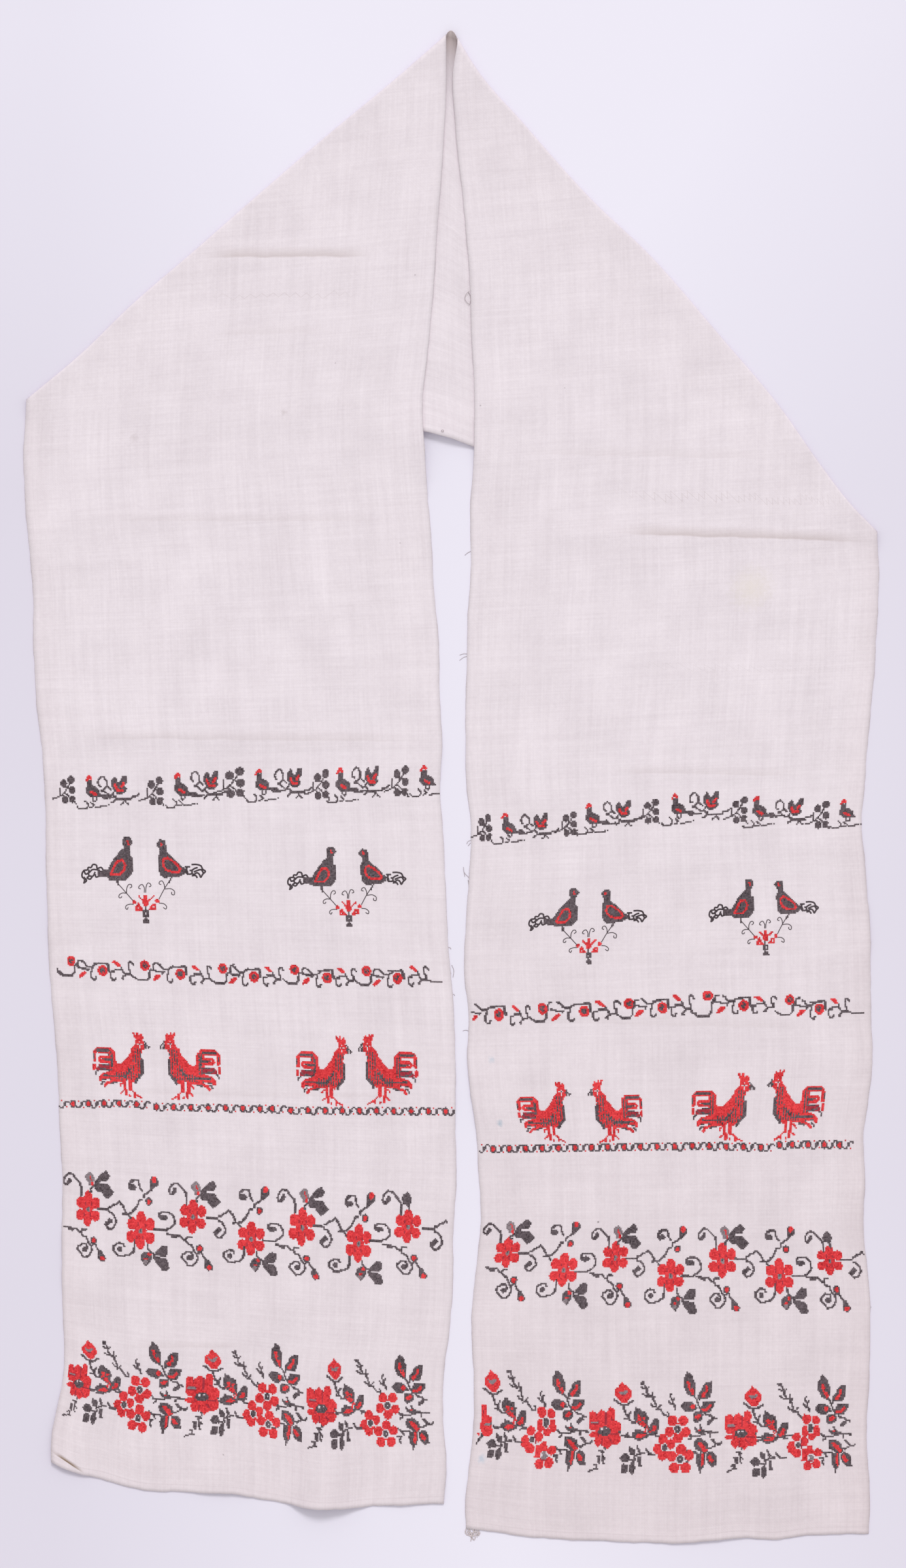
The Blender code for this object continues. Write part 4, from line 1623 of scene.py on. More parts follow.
    "trio": Motif(834, 2176, """
        red area: 824 2154.6 832 2155.4 835.4 2160 835.4 2166 831 2171 826 2171 821.6 2165 821.6 2158, \
            839 2157.6 845 2157.6 849.4 2163 849.4 2169 846 2171.6 840 2172 836.6 2165
        red area: 842 2174 848.6 2174 850.6 2182 850.6 2190 845 2191 840 2184 840 2178, \
            830.6 2186 836 2185.4 843 2187 843.4 2192 839 2198 834 2198 830.6 2193
        red area: 824 2173 829.4 2172 829.4 2178 831.4 2184 830 2190 824 2191 820.6 2186 820.6 2178
        bare oval: 835 2178 5.6 8.6
        black oval: 835 2177.6 4.2 7.2
        red oval: 811.6 2190.6 6.8 7, 824.6 2198.6 6.2 7.8, 812 2216.4 7.6 7
        red area: 801 2197.4 808 2198 809 2205 812 2211 806 2217 799 2214 796.4 2208 796.4 2203
        bare oval: 814.6 2204 5.4 5.8
        black oval: 814.2 2203.6 4 4.4
        crimson line 2: 819 2197 819 2201, 820 2205 820 2209
        red area: 828.4 2208 833 2204.6 837.4 2206 839 2214 841 2221 833 2220 828 2214, \
            821.6 2210.4 828 2211 831 2219 832.4 2226 830 2230 819.4 2228.6 821.6 2224
        red oval: 846.6 2217.6 7 6.6, 829 2238 6.8 7.4, 843.6 2235.6 7 8
        bare oval: 835.4 2225.6 6 7
        grey oval: 835.4 2226 5 6.2
        bare line 2: 833 2225 833 2227, 838 2221 838 2223
        crimson line 2: 831 2231 838 2232
        """),
    "floret": Motif(592, 2150, """
        red oval: 584.2 2138.8 7 7, 600.4 2138.6 7 7, 580 2153.6 7 6.8, 604.6 2154.6 6.8 6.6, 593 2162 7.2 7
        red line 3: 592 2143 586 2141, 592 2143 599 2141, 592 2157 582 2153, 592 2157 602 2154
        bare oval: 592 2150 6 6.4
        black oval: 592 2150 4.4 4.8
        bare oval: 592.4 2150 1 1
        """),
    "quarter": Motif(568, 2177, """
        red oval: 565.4 2166 6.6 7.2, 558 2179 6.4 7.2, 565.8 2187.8 6.8 6.6, 577 2172.4 6.4 6.8
        red line 3: 568 2183 574 2184
        bare oval: 568 2177 5.2 5.8
        black oval: 568 2177 4 4.6
        """),
    "posy": Motif(834, 2176, """
        black line 2.5: 794 2190 797 2188 806 2189
        black line 2.5: 826 2133 826 2137 829 2141 829 2146 833 2149 834 2154, 828 2132 828 2132, \
            831 2138 830 2141, 823 2142 826 2146 829 2147
        black line 2.5: 832 2147 833 2153
        black area: 852 2098.6 856 2102 860.4 2106 860.4 2110 862.6 2112 864.6 2118 864.4 2129 863 2136.6 857 2135 \
            851.4 2131.4 848.6 2126 845.6 2121 845.6 2108 849 2106 849.6 2101
        red area: 850.6 2113 854.6 2111.4 857 2119 861 2124.6 863 2131 860.6 2134.6 856 2128 852 2121
        black line 2.5: 857 2121 858 2124
        black area: 883 2114.6 890 2113.6 890 2128 887.4 2137 884 2139 876 2139.4 869.6 2138 869.6 2132 874 2127 876 \
            2120 880 2116.6
        red area: 880.4 2119.4 884.4 2121 884.4 2128 881 2130.6 879.4 2137 875 2137.6 873.4 2134 876 2130.6 880 2128
        black area: 841.6 2149 847 2143.4 855 2142.6 861 2144.6 866.6 2149 869 2154 862.6 2156 860 2158.6 850 2158 \
            846 2155
        red oval: 860.6 2150.4 3.6 3.8
        black area: 878 2142.4 895.6 2142.4 894.6 2151 891 2154 889 2159 881 2160 874.6 2158.6 873.6 2153 876 2148
        red area: 888.4 2146 891.4 2149 887 2155 881 2158 874.6 2157.6 875 2153.6 882 2152.6 886 2149
        black area: 864 2158.4 874 2158.4 877.4 2162 877 2169 871 2173 867 2174.6 861.6 2170.6 861.6 2162
        red area: 864.6 2165 872 2160.6 875.6 2163 870.6 2169 866 2168.6
        black line 2.5: 863 2136 867 2140 869 2146 871 2151 875 2157, 870 2134 871 2141
        black line 2.6: 880 2160 883 2163 890 2164 893 2167 899 2169
        black area: 884 2173 888 2170 893 2167 894.6 2172 890 2175.4 886 2178.6 884 2178
        black line 2.5: 853 2188 856 2192 862 2193 873 2193, 860 2194 860 2197 856 2198, 854 2191 859 2192
        black area: 864.6 2180 867 2182 870 2184 873 2184 872 2177 874 2177 877 2183 881 2185.4 881.4 2191.4 874 \
            2191.4 868 2188.4 865 2184
        red line 2: 872 2185 874 2185
        black line 2.8: 881 2187.4 901 2189.6
        black line 2.5: 889 2191 889 2195
        black area: 865.6 2197.6 875 2197 880.6 2200.6 884.6 2203 886.6 2209 887.4 2215 884 2218.6 876 2217.6 871 \
            2214 866 2211 864.6 2206
        red area: 869.6 2202.6 874 2201.6 880.6 2207 886.6 2214.6 882 2218.4 877 2213.6 872 2207.6
        black area: 869.4 2219 876 2217.6 882.4 2219 882 2232 880.4 2238 876.6 2241.6 875.6 2248 874 2248 873 2241 \
            870 2236 868.6 2228
        red area: 876.6 2219 880.4 2219 880.4 2232 878.4 2239 876 2234
        black area: 888.6 2216.6 895 2217.6 899.6 2224 899.6 2233 902 2237.6 893 2238.6 887 2233 884.6 2228 884.6 \
            2220.6
        red area: 885.6 2223.6 889 2221 896.6 2230 893 2232.6 889 2231
        black line 2.5: 884 2211 892 2212, 858 2218 861 2223, 850 2226 857 2226 854 2231 856 2236, 898 2208 894 2210
        black line 2.6: 851 2213 856 2217 868 2217 872 2220
        black area: 889.4 2198.4 894 2198 898.6 2203 900.6 2207 896 2206 893 2203
        black line 2.6: 899 2206 905 2207 908 2204
        """),
    "rose": Motif(925, 2189, """
        red area: 899.6 2163 904 2160.6 909.4 2161.4 911 2165.6 915 2162 919 2158.6 923 2159.6 925.4 2164 928 2164 \
            929.6 2157 933 2154.6 938 2155.4 940.4 2162 939.4 2174 945 2175.6 949.6 2180 950.6 2188 948.4 2193.6 \
            947.6 2195 950.6 2200 948.6 2206.6 943 2210.4 938 2209.6 933 2213.6 930 2216.4 925 2213.6 921 2208 920 \
            2210 916 2213.6 911 2210.6 908.6 2204 911 2200 904 2200.4 899.6 2196 905 2191 903 2189 899.6 2184
        bare line 2: 902 2191 910 2191
        black oval: 924.6 2190.4 10 6.8
        bare line 2: 920 2187 922 2187, 920 2189 921 2189, 927 2187 928 2187
        crimson line 3: 926 2163 926 2179, 921.6 2203 921.6 2211
        crimson line 2: 912 2166 912 2168, 934 2195 946 2195, 932 2201 938 2207, 914 2193 915 2198, 935 2172 938 2174
        grey line 3: 904 2178 914 2178
        crimson line 2: 914 2176 916 2177, 904 2180 915 2180
        black line 2.5: 948 2190 948 2192, 951 2196 958 2196 961 2193, 963 2198 970 2198, 926 2214 927 2217, \
            963 2199 968 2199
        black line 2.5: 918 2220 924 2220 926 2222, 922 2222 924 2228 924 2235 926 2238, 925 2228 928 2231, \
            921 2221 924 2222
        black line 2.5: 915 2228 919 2228 919 2238, 911 2241 915 2240 915 2245 912 2247, 915 2246 918 2247, \
            910 2249 906 2249 904 2251
        black line 2.5: 917 2229 917 2236
        """),
    "rose_side": Motif(743, 2179, """
        red area: 736.6 2150.6 743.4 2150.6 743.4 2165.6 748 2165.6 752.6 2170 752.6 2177 751 2180 753.6 2186 753.6 \
            2193 749 2198.6 741 2197.6 737 2191 735 2187 733.6 2182 736 2176
        grey line 2.6: 742 2180 750 2180
        crimson line 2: 739 2158 740 2163
        red line 2: 732 2195 734 2196
        black line 2.5: 737 2195 739 2198 735 2203 731 2210, 734 2203 736 2205, 752 2176 752 2178
        """),
    "gorse": Motif(752, 2223, """
        black area: 748 2203.4 753 2203.6 757.6 2209 757.6 2215 747 2216.4 744 2212.6 742 2210 745.6 2206, \
            748.6 2218.4 756.4 2219 756.4 2228 752.6 2231.6 745 2230.6 745.6 2222
        black area: 760 2217 765 2212 767.6 2224 765.6 2230.6 762 2234 758.6 2228 758.6 2220, \
            756.6 2192.6 760 2196 764.4 2197 764.4 2206 759 2206 756.6 2200
        black area: 767 2191.6 769 2191.6 774.6 2200 773 2203 770 2202, 771 2206 775.4 2208 775.4 2216 777.6 2221.6 \
            772 2222 770.6 2214
        black line 2.4: 764 2198 765 2208 767 2212, 757 2212 764 2212, 765 2207 771 2205 776 2203 781 2203
        black line 3: 783 2197 788 2204
        black line 2.6: 788 2203.6 797 2204
        bare line 2: 756 2215 756 2215, 761 2215 761 2215
        """),
}

# Each row of the embroidery: motifs, then where their anchors stand. After some comes the stretch in width, below 0
# where it is mirrored, and in height, below 0 where it is upside down. "to" and "by" are a run of even steps. Most
# places were corrected by the shift that was measured between a render and the photograph.
ROWS = {
    "hen_vine": """
        cluster: 103.5 1209 1.0 1.2, 237.5 1211 1.05 1.25, 358 1198 1.35 1.3, 491 1201 1.05 1.25, 612.5 1196 1.05 1.28
        cluster: 741.7 1267.5 0.87 1.1, 871 1261.2 0.95 1, 995.2 1242, 1130.5 1240 1 1.05, 1256 1247.5 1 1.1
        hen tail: 135.5 1189.5 1.05 1.16, 271 1185.5 1.05 1.18, 395.5 1179.3 1.05 1.12, 519.5 1178.5 1.05 1.16
        hen tail: 771.5 1247, 899.5 1232.3, 1030.7 1217.7, 1156 1220.8
        hen: 648.2 1174.4 1.05 1, 1290.4 1226.3 1 0.88
        sprig: 182.4 1201.8 1.12 1.22, 322.7 1194.3 1.05 1.24, 450 1191 1.02 1.24, 568.4 1188.5 1.03 1.22
        sprig: 827 1258, 952.5 1238.6, 1086.6 1225.5 1.08 1.12, 1216 1236
        """,
    "bird_pairs": """
        pair: 222.3 1382 1.12 1.21, 533 1390 1.07 1.09, 900 1448, 1171 1435 0.93 1
        """,
    "rose_vine": """
        arch: 157 1485.5 0.97 1, 276 1491, 388.7 1495 1.02 1, 500.4 1496.7 1.02 1, 608 1497.4 1.03 1
        arch: 763.5 1553.3 0.98 1.1, 893.5 1548, 1013 1542.4 0.97 1, 1137.5 1539 1.02 0.97, 1253.3 1544.3 0.97 0.95
        hook: 139 1479.4 0.9 1.05, 255.4 1483.8 0.9 1.02, 370.4 1488.4 0.85 1.05, 483 1491.6 0.85 0.95
        hook: 592.2 1492 0.85 0.92, 742 1546 0.9 1.02, 869 1542.4, 994.8 1537 0.85 0.93, 1120 1532.3 0.92 0.94
        hook: 1239.7 1539.1 0.8 0.98
        crossing: 199.6 1491.2 0.89 1.07, 319.9 1497.7 0.85 1.03, 429.9 1499.3 0.79 1, 541.3 1501.2 0.8 1
        crossing: 652 1499.2 0.79 1.05, 807.4 1558.6 0.75 1, 943 1551.2, 1056.6 1544.4 0.85 1.1
        crossing: 1182.6 1541.6 0.89 0.87, 1295 1547.7 0.76 1
        trough: 104.5 1493 1 1.1, 217.6 1499.6 1.2 1.05, 336.4 1504.6 1.1 1.05, 447.2 1505.4 1 1.05, \
            557.5 1507.5 1.05 1.05
        trough: 825 1563.6 1.05 1.1, 957.5 1557.6, 1075.2 1555.5 1.3 1.5, 1201 1553.5 1.1 1.05
        rosette: 108.7 1470.7 0.82 1.1, 221.4 1477.7 1 1.05, 340.7 1482 0.9 1.05, 450.3 1484 0.95 1, \
            560.5 1486.4 0.95 1.05
        rosette: 829.8 1544 0.95 1.1, 962 1536, 1082.3 1524 1 0.95, 1208 1530 0.9 0.95
        curl: 118.7 1475, 234 1479, 352 1482.4, 462 1487, 571.4 1489, 838 1540, 970 1536, 1093 1529, 1216.6 1533.6
        vine: 126.4 1491 0.95 1, 240 1495.7, 356.3 1500.5, 468.4 1501.2, 576.6 1503.5, 726.5 1557.5 0.7 0.8
        vine: 850.8 1556.6, 977.8 1549.8, 1102.8 1545, 1225 1549.8
        start: 99 1494.5
        run: 662.2 1503.2, 1306.4 1551.4
        """,
    "roosters": """
        rooster: 213.8 1598.5 1.03 0.97, 260.1 1598.5 -1.08 0.99, 523.4 1605 1 1, 563 1602 -1.07 1
        rooster: 857.5 1672 0.93 0.84, 912.5 1670.5 -0.93 0.87, 1138 1662 1.08 0.93, 1189.3 1656.7 -1 0.96
        """,
    "chain": """
        ring cup: 112 1689.5 to 182.5 1688.5 by 4, 209 1690.5, 239.5 1694 to 398 1697 by 7, 417 1697.5
        ring cup: 445 1699.5 to 681.5 1701 by 10, 754 1758.5 to 1005 1754.5 by 11, 1032 1755
        ring cup: 1058.5 1753.5 to 1163.5 1756 by 5, 1192 1752.5, 1212 1752 to 1284.5 1752 by 4
        cup: 86 1689.6, 728 1758
        """,
    "blooms": """
        bloom: 134.6 1850.9 1.02 1.3, 295 1863 1.14 1.22, 462 1879 1.13 1.33, 623.6 1878 1.13 1.17
        bloom: 215.2 1884 1.22 1.36, 384 1897 1.16 1.2, 548.2 1904 1.1 1.33
        bloom: 776 1918 1.03 1.03, 862 1944.4 1.13 1.14, 941 1925 1.04 1.05, 1025.5 1953 1.1 1.13, 1105 1930 1.13 1.17
        bloom: 1192 1954 1.15 1.15, 1269 1930 1.05 0.97
        crown: 133 1848 1.03 1.2, 294.6 1862 1.06 1.15, 459.6 1875 1.05 1.2, 773 1918 1.04 1, 938.8 1925.8
        crown: 1104.3 1926.3
        bough: 134 1849.2 1.03 1.2, 300.6 1863 1.06 1.15, 463 1875.5 1.05 1.2, 776.8 1918.5, 941.8 1926.4, 1108.2 1927
        leaflet: 621.8 1878.3 1.12 1.2, 1269 1931.2
        bough_end: 629.2 1879.2 1.12 1.2, 1270.5 1928.5
        root: 218.9 1884.3 1.15 1.03, 386 1896 1.1 0.96, 547.2 1909.7 1.1 0.94, 864.8 1943.1, 1028.6 1951.8
        root: 1196.4 1950.8
        shoot: 215 1878.2 1.15 1.03, 383 1895 1.1 0.96, 546 1895.3 1.1 0.94, 862.5 1944.4, 1024.2 1951, 1193.4 1951
        trail: 216 1881 1.15 1.03, 383.7 1897.4 1.1 0.96, 547.8 1897.3 1.1 0.94, 866.4 1943.8, 1029 1949, 1196 1949
        trail: 63 1870 1.03 1, 706.8 1935
        """,
    "garden": """
        bud: 136 2064.6 1.03 0.86, 325.4 2079.5 1.15 0.87, 511.2 2093.6 0.95 0.88, 752 2112.5, 952 2130 1.08 0.9
        bud: 1151 2136 1.05 0.9
        twig: 136 2062.4 1 0.81, 335.6 2078.8 1 0.83, 522 2092.6 1 0.81, 752.3 2111.6, 956.3 2127.8 1 0.83
        twig: 1166.8 2131.6 1 0.9
        posy: 211.6 2122.7 1.13 0.89, 400.2 2131.4 1.03 0.98, 590 2148.6 1.08 0.97, 834.5 2175.3 1 0.98
        posy: 1032.8 2179.8 1.0 0.98, 1238 2182.4 0.98 0.98
        trio: 834.2 2175.4, 1239 2184.4 0.95 0.92
        floret: 210.4 2126.8, 405.3 2137.6, 591.4 2151.5, 1036 2187
        floret: 205.8 2170.6 1 -1, 406 2180.2 1 -1, 588.4 2194.3 1 -1, 1039.4 2233 1.04 -1.04
        quarter: 186 2150, 383.2 2164, 564.6 2178, 1015.6 2215.5
        rose: 120 2116.4 0.8 0.93, 305.8 2136.6 1.17 0.97, 489.2 2153.8 1.0 0.93, 925 2189 1 0.96, \
            1133.6 2192.2 1 0.92
        rose_side: 743 2179
        gorse: 130 2168, 324.2 2186.5, 510.4 2207, 751.5 2223, 955.6 2245.6, 1157.2 2251.3
        """,
}


@dataclass(frozen=True)
class Stamp:
    """One motif in its place, with its stretch in width and height, below 0 where it is turned about."""

    motif: str
    x: float
    y: float
    wide: float = 1.0
    tall: float = 1.0


def stamps(rows: str) -> list[Stamp]:
    """Read a row's motifs and places.

    Args:
        rows: lines of motif names, a colon, and places with commas between them.

    Returns:
        The stamps, in drawing order.
    """
    found = []
    for line in rows.strip().splitlines():
        names, places = line.split(":")
        for place in places.split(","):
            words = place.split()
            if "to" in words:
                x0, y0, x1, y1, count = (float(word) for word in words if word not in ("to", "by"))
                spots = [(x, y) for x, y in zip(np.linspace(x0, x1, int(count)), np.linspace(y0, y1, int(count)))]
            else:
                spots = [tuple(float(word) for word in words)]
            found += [Stamp(name, *spot) for spot in spots for name in names.split()]
    return found


@dataclass
class CountedEnd:
    """The counted cells of one end, each bare or with one cross-stitch, with the row that each belongs to."""

    band: BandShape
    cell: float
    height: float = 0.80
    thin: float = 2.0
    steps: float = 1.5

    def __post_init__(self) -> None:
        """Lay out the empty cells."""
        self.pitch = self.cell * CHART_THREAD
        shape = int(self.height / self.pitch), int(CLOTH_WIDTH / self.pitch)
        self.threads = np.zeros(shape, np.int8)
        self.owners = np.zeros(shape, np.int8)
        self.fine: list[tuple[int, float, np.ndarray]] = []

    def flat(self, column: np.ndarray, row: np.ndarray) -> tuple[np.ndarray, np.ndarray]:
        """Turn grid places into flat ones.

        Args:
            column: columns, as fractions.
            row: rows, as fractions.

        Returns:
            Share across from the inner selvedge, and distance above the hem.
        """
        across = column * self.pitch / CLOTH_WIDTH
        return (1 - across if self.band.side is Side.LEFT else across), row * self.pitch

    def grid(self, x: float, y: float) -> tuple[float, float]:
        """Turn a chart point into a grid place.

        Args:
            x: chart threads to the right.
            y: chart threads down.

        Returns:
            Column and row, both as fractions.
        """
        plan = np.array([[x - CHART_MIDDLE[0], CHART_MIDDLE[1] - y]]) * CHART_THREAD
        across, above = self.band.spot(plan)
        share = 1 - across[0] if self.band.side is Side.LEFT else across[0]
        return share * CLOTH_WIDTH / self.pitch, above[0] / self.pitch

    def draw(self, stamp: Stamp, owner: int) -> None:
        """Put a motif's marks into the cells, one mark over another.

        Args:
            stamp: the motif and its place.
            owner: the number of the row of embroidery.
        """
        motif = MOTIFS[stamp.motif]
        column0, row0 = self.grid(stamp.x, stamp.y)
        scale = np.array([stamp.wide, -stamp.tall]) / motif.cell()
        anchor = np.array([motif.x, motif.y])
        for mark in motif.marks():
            spots = (mark.points() - anchor) * scale + (column0, row0)
            if mark.form is Form.FINE:
                self.fine.append((owner, mark.numbers[0] * CHART_THREAD, spots))
                continue
            if mark.form is Form.LINE and mark.numbers[0] <= self.thin:
                self.run(spots, mark.thread, owner)
                continue
            reach = mark.margin() * np.abs(scale)
            low = np.maximum(np.floor(spots.min(axis=0) - reach), 0).astype(int)
            high = np.minimum(np.ceil(spots.max(axis=0) + reach), self.threads.shape[::-1]).astype(int)
            if (low >= high).any():
                continue
            column, row = np.meshgrid(np.arange(low[0], high[0]), np.arange(low[1], high[1]))
            x = (column + 0.5 - column0) / scale[0] + anchor[0]
            y = (row + 0.5 - row0) / scale[1] + anchor[1]
            taken = mark.covers(x, y, column, row)
            self.threads[low[1]:high[1], low[0]:high[0]][taken] = mark.thread
            self.owners[low[1]:high[1], low[0]:high[0]][taken] = owner

    def run(self, spots: np.ndarray, thread: Thread, owner: int) -> None:
        """Fill the cells that a line one stitch wide passes through.

        Args:
            spots: the line's points, as columns and rows.
            thread: the thread.
            owner: the number of the row of embroidery.
        """
        for start, stop in zip(spots[:-1], spots[1:]):
            count = int(np.abs(stop - start).max() * self.steps) + 2
            column, row = np.floor(start + (stop - start) * np.linspace(0, 1, count)[:, None]).astype(int).T
            inside = (column >= 0) & (row >= 0) & (column < self.threads.shape[1]) & (row < self.threads.shape[0])
            self.threads[row[inside], column[inside]] = thread
            self.owners[row[inside], column[inside]] = owner

    def chart(self) -> None:
        """Chart every row of embroidery that stands on this end."""
        for owner, rows in enumerate(ROWS.values()):
            for stamp in stamps(rows):
                if (stamp.x < CHART_MIDDLE[0]) == (self.band.side is Side.LEFT):
                    self.draw(stamp, owner)


# ---- stitches ----

@dataclass(frozen=True)
class ThreadFinish:
    """Spun thread in one colour, soft and nearly matt, with an uneven stored shade that also carries painted light.
    """

    name: str
    dark: str
    light: str
    roughness: float = 0.75
    specular: float = 0.3
    fibre_scale: float = 1500.0
    fibre_share: float = 0.3
    fading_scale: float = 22.0
    fading_share: float = 0.6

    def material(self) -> bpy.types.Material:
        """Build the thread's nodes: the stored shade, part painted light, with fine fibres and slow fading over it.

        Returns:
            The material.
        """
        shading = Shading(self.name)
        where = shading.place()
        total = shading.calc("MULTIPLY_ADD", shading.noise(where, self.fibre_scale), self.fibre_share,
                             shading.stored("shade"))
        total = shading.calc("MULTIPLY_ADD", shading.noise(where, self.fading_scale), self.fading_share, total)
        middle = (self.fibre_share + self.fading_share) / 2
        level = shading.calc("SUBTRACT", total, middle, clamp=True)
        colour = shading.mix(level, linear(self.dark), linear(self.light))
        return shading.finish(colour, self.roughness, self.specular)


THREAD_FINISHES = {
    # Bright red cotton, paler and warmer on the upper legs, which are painted lighter
    Thread.RED: ThreadFinish("red_stranded_cotton", "b3151f", "fb4a4f"),
    # Black cotton, which washing has turned to a soft brownish charcoal
    Thread.BLACK: ThreadFinish("faded_black_cotton", "34292e", "76696f"),
    # The same thread where it is thin and much washed, which looks grey
    Thread.GREY: ThreadFinish("washed_grey_cotton", "75676d", "9d9095"),
    # Deeper red cotton, which gives the dark strokes inside petals and wings
    Thread.CRIMSON: ThreadFinish("crimson_cotton", "8e1f2f", "b93b48"),
}


@dataclass
class CrossStitches:
    """The rows of embroidery on one end, each one joined mesh of cross-stitches and its thin lines.

    A stitch is two crossing legs from corner to corner of its cell. A leg is a soft lozenge: a point at each end,
    and a ridge over its middle between two low sides.
    """

    towel: LaidTowel
    end: CountedEnd
    width: float = 1.42 * MM
    spread: tuple[float, float] = (0.82, 1.12)
    ridge: float = 0.36 * MM
    overlap: float = 0.24
    over: float = 0.12 * MM
    bed: float = 0.43 * MM
    jitter: float = 0.07
    usual_shade: float = 0.5
    shade_spread: float = 0.2
    over_shade: float = 0.08
    ground_depth: float = 0.03 * MM
    ground_margin: float = 0.06
    ground_shade: float = 0.55
    line_rise: float = 0.18 * MM
    line_step: float = 1.1 * MM
    line_lift: float = 0.12 * MM
    line_dips: tuple[float, float] = (0.06 * MM, -0.04 * MM)
    line_shade: float = 0.3
    seeds: dict[Side, int] = field(default_factory=lambda: {Side.LEFT: 500, Side.RIGHT: 550})

    def set_down(self, column: np.ndarray, row: np.ndarray, lift: np.ndarray | float) -> np.ndarray:
        """Set grid places on the cloth's face.

        Args:
            column: columns, as fractions.
            row: rows, as fractions.
            lift: height over the middle of the cloth.

        Returns:
            Points in the part's frame.
        """
        across, above = self.end.flat(column, row)
        plan = self.end.band.place(across, above)
        return self.towel.on_front(self.end.band, plan, above, lift)

    def legs(self, column: np.ndarray, row: np.ndarray, draw: np.random.Generator,
             rising: bool) -> tuple[np.ndarray, np.ndarray]:
        """Make one leg of each stitch.

        Args:
            column: each stitch's column.
            row: each stitch's row.
            draw: the source of unevenness.
            rising: whether the leg goes from the lower left, over the other one.

        Returns:
            Five points for each leg, and four three-cornered faces for each.
        """
        count = len(column)
        near, far = -self.overlap / 2, 1 + self.overlap / 2
        rows = (near, far) if rising else (far, near)
        shake = draw.normal(0.0, self.jitter, (4, count))
        lift = self.bed + (self.over if rising else 0.0)
        start = self.set_down(column + near + shake[0], row + rows[0] + shake[1], self.bed)
        stop = self.set_down(column + far + shake[2], row + rows[1] + shake[3], self.bed)
        middle = (start + stop) / 2
        along = (stop - start)[:, :2]
        along /= np.linalg.norm(along, axis=1, keepdims=True)
        half = self.width / 2 * draw.uniform(*self.spread, (count, 1))
        side = np.concatenate([np.stack([-along[:, 1], along[:, 0]], axis=1) * half, np.zeros((count, 1))], axis=1)
        middle[:, 2] += lift - self.bed
        top = middle + np.stack([np.zeros(count), np.zeros(count), np.full(count, self.ridge)], axis=1)
        points = np.stack([start, stop, middle + side, middle - side, top], axis=1)
        corners = np.array([(0, 3, 4), (3, 1, 4), (1, 2, 4), (2, 0, 4)])
        faces = corners[None] + 5 * np.arange(count)[:, None, None]
        return points.reshape(-1, 3), faces.reshape(-1, 3)

    def line(self, width: float, spots: np.ndarray) -> tuple[np.ndarray, np.ndarray]:
        """Make a backstitched line: a three-sided tube along a smooth curve, dipping at each stitch.

        Args:
            width: the line's width.
            spots: the line's points, as columns and rows.

        Returns:
            Points and three-cornered faces.
        """
        length = np.linalg.norm(np.diff(spots, axis=0), axis=1).sum() * self.end.pitch
        count = max(3, int(length / self.line_step) * 2 + 1)
        curve = smooth_path(spots, count)
        dip = np.where(np.arange(count) % 2, *self.line_dips)
        middle = self.set_down(curve[:, 0], curve[:, 1], self.bed + self.line_lift + dip)
        return thread_tube(middle, width, self.line_rise)

    def ground(self, column: np.ndarray, row: np.ndarray) -> tuple[np.ndarray, np.ndarray]:
        """Fill each stitch's cell below its legs, where thread hides the linen, with two flat triangles in painted
        shadow.

        Args:
            column: each stitch's column.
            row: each stitch's row.

        Returns:
            Four points for each stitch, and two three-cornered faces for each.
        """
        low, high = -self.ground_margin, 1 + self.ground_margin
        corners = [self.set_down(column + i, row + j, self.bed - self.ground_depth)
                   for i, j in ((low, low), (high, low), (high, high), (low, high))]
        first = 4 * np.arange(len(row))[:, None]
        return np.stack(corners, axis=1).reshape(-1, 3), np.concatenate([first + (0, 1, 2), first + (0, 2, 3)])

    def stitch(self, owner: int, name: str, materials: Sequence[bpy.types.Material]) -> bpy.types.Object:
        """Stitch one row of embroidery.

        Args:
            owner: the row's number.
            name: its name.
            materials: red, black, grey and crimson thread.

        Returns:
            The row's piece.
        """
        side = self.end.band.side
        draw = np.random.default_rng(self.seeds[side] + owner)
        row, column = np.nonzero((self.end.threads > 0) & (self.end.owners == owner))
        kind = self.end.threads[row, column].astype(int) - 1
        even = self.usual_shade + self.shade_spread * draw.normal(size=len(row))
        joined = Joined()
        # The ground is darker than the legs: painted shadow in the gaps between them
        joined.add(*self.ground(column, row), np.tile(kind, 2), np.repeat(even - self.ground_shade, 4))
        # Painted light: the upper leg lighter and the under leg darker
        for rising, shade in ((False, -self.over_shade), (True, self.over_shade)):
            joined.add(*self.legs(column, row, draw, rising), np.repeat(kind, 4), np.repeat(even + shade, 5))
        for width, spots in (line for place, *line in self.end.fine if place == owner):
            joined.add(*self.line(width, spots), Thread.BLACK - 1, self.line_shade)
        LOG.info("%s, %s end: %d stitches", name, side.value, len(row))
        return joined.piece(f"{name}_{side.value}", materials)

    def build(self, materials: Sequence[bpy.types.Material]) -> list[bpy.types.Object]:
        """Stitch every row of this end, and give its pieces in order."""
        return [self.stitch(owner, name, materials) for owner, name in enumerate(ROWS)]


# ---- loose threads ----

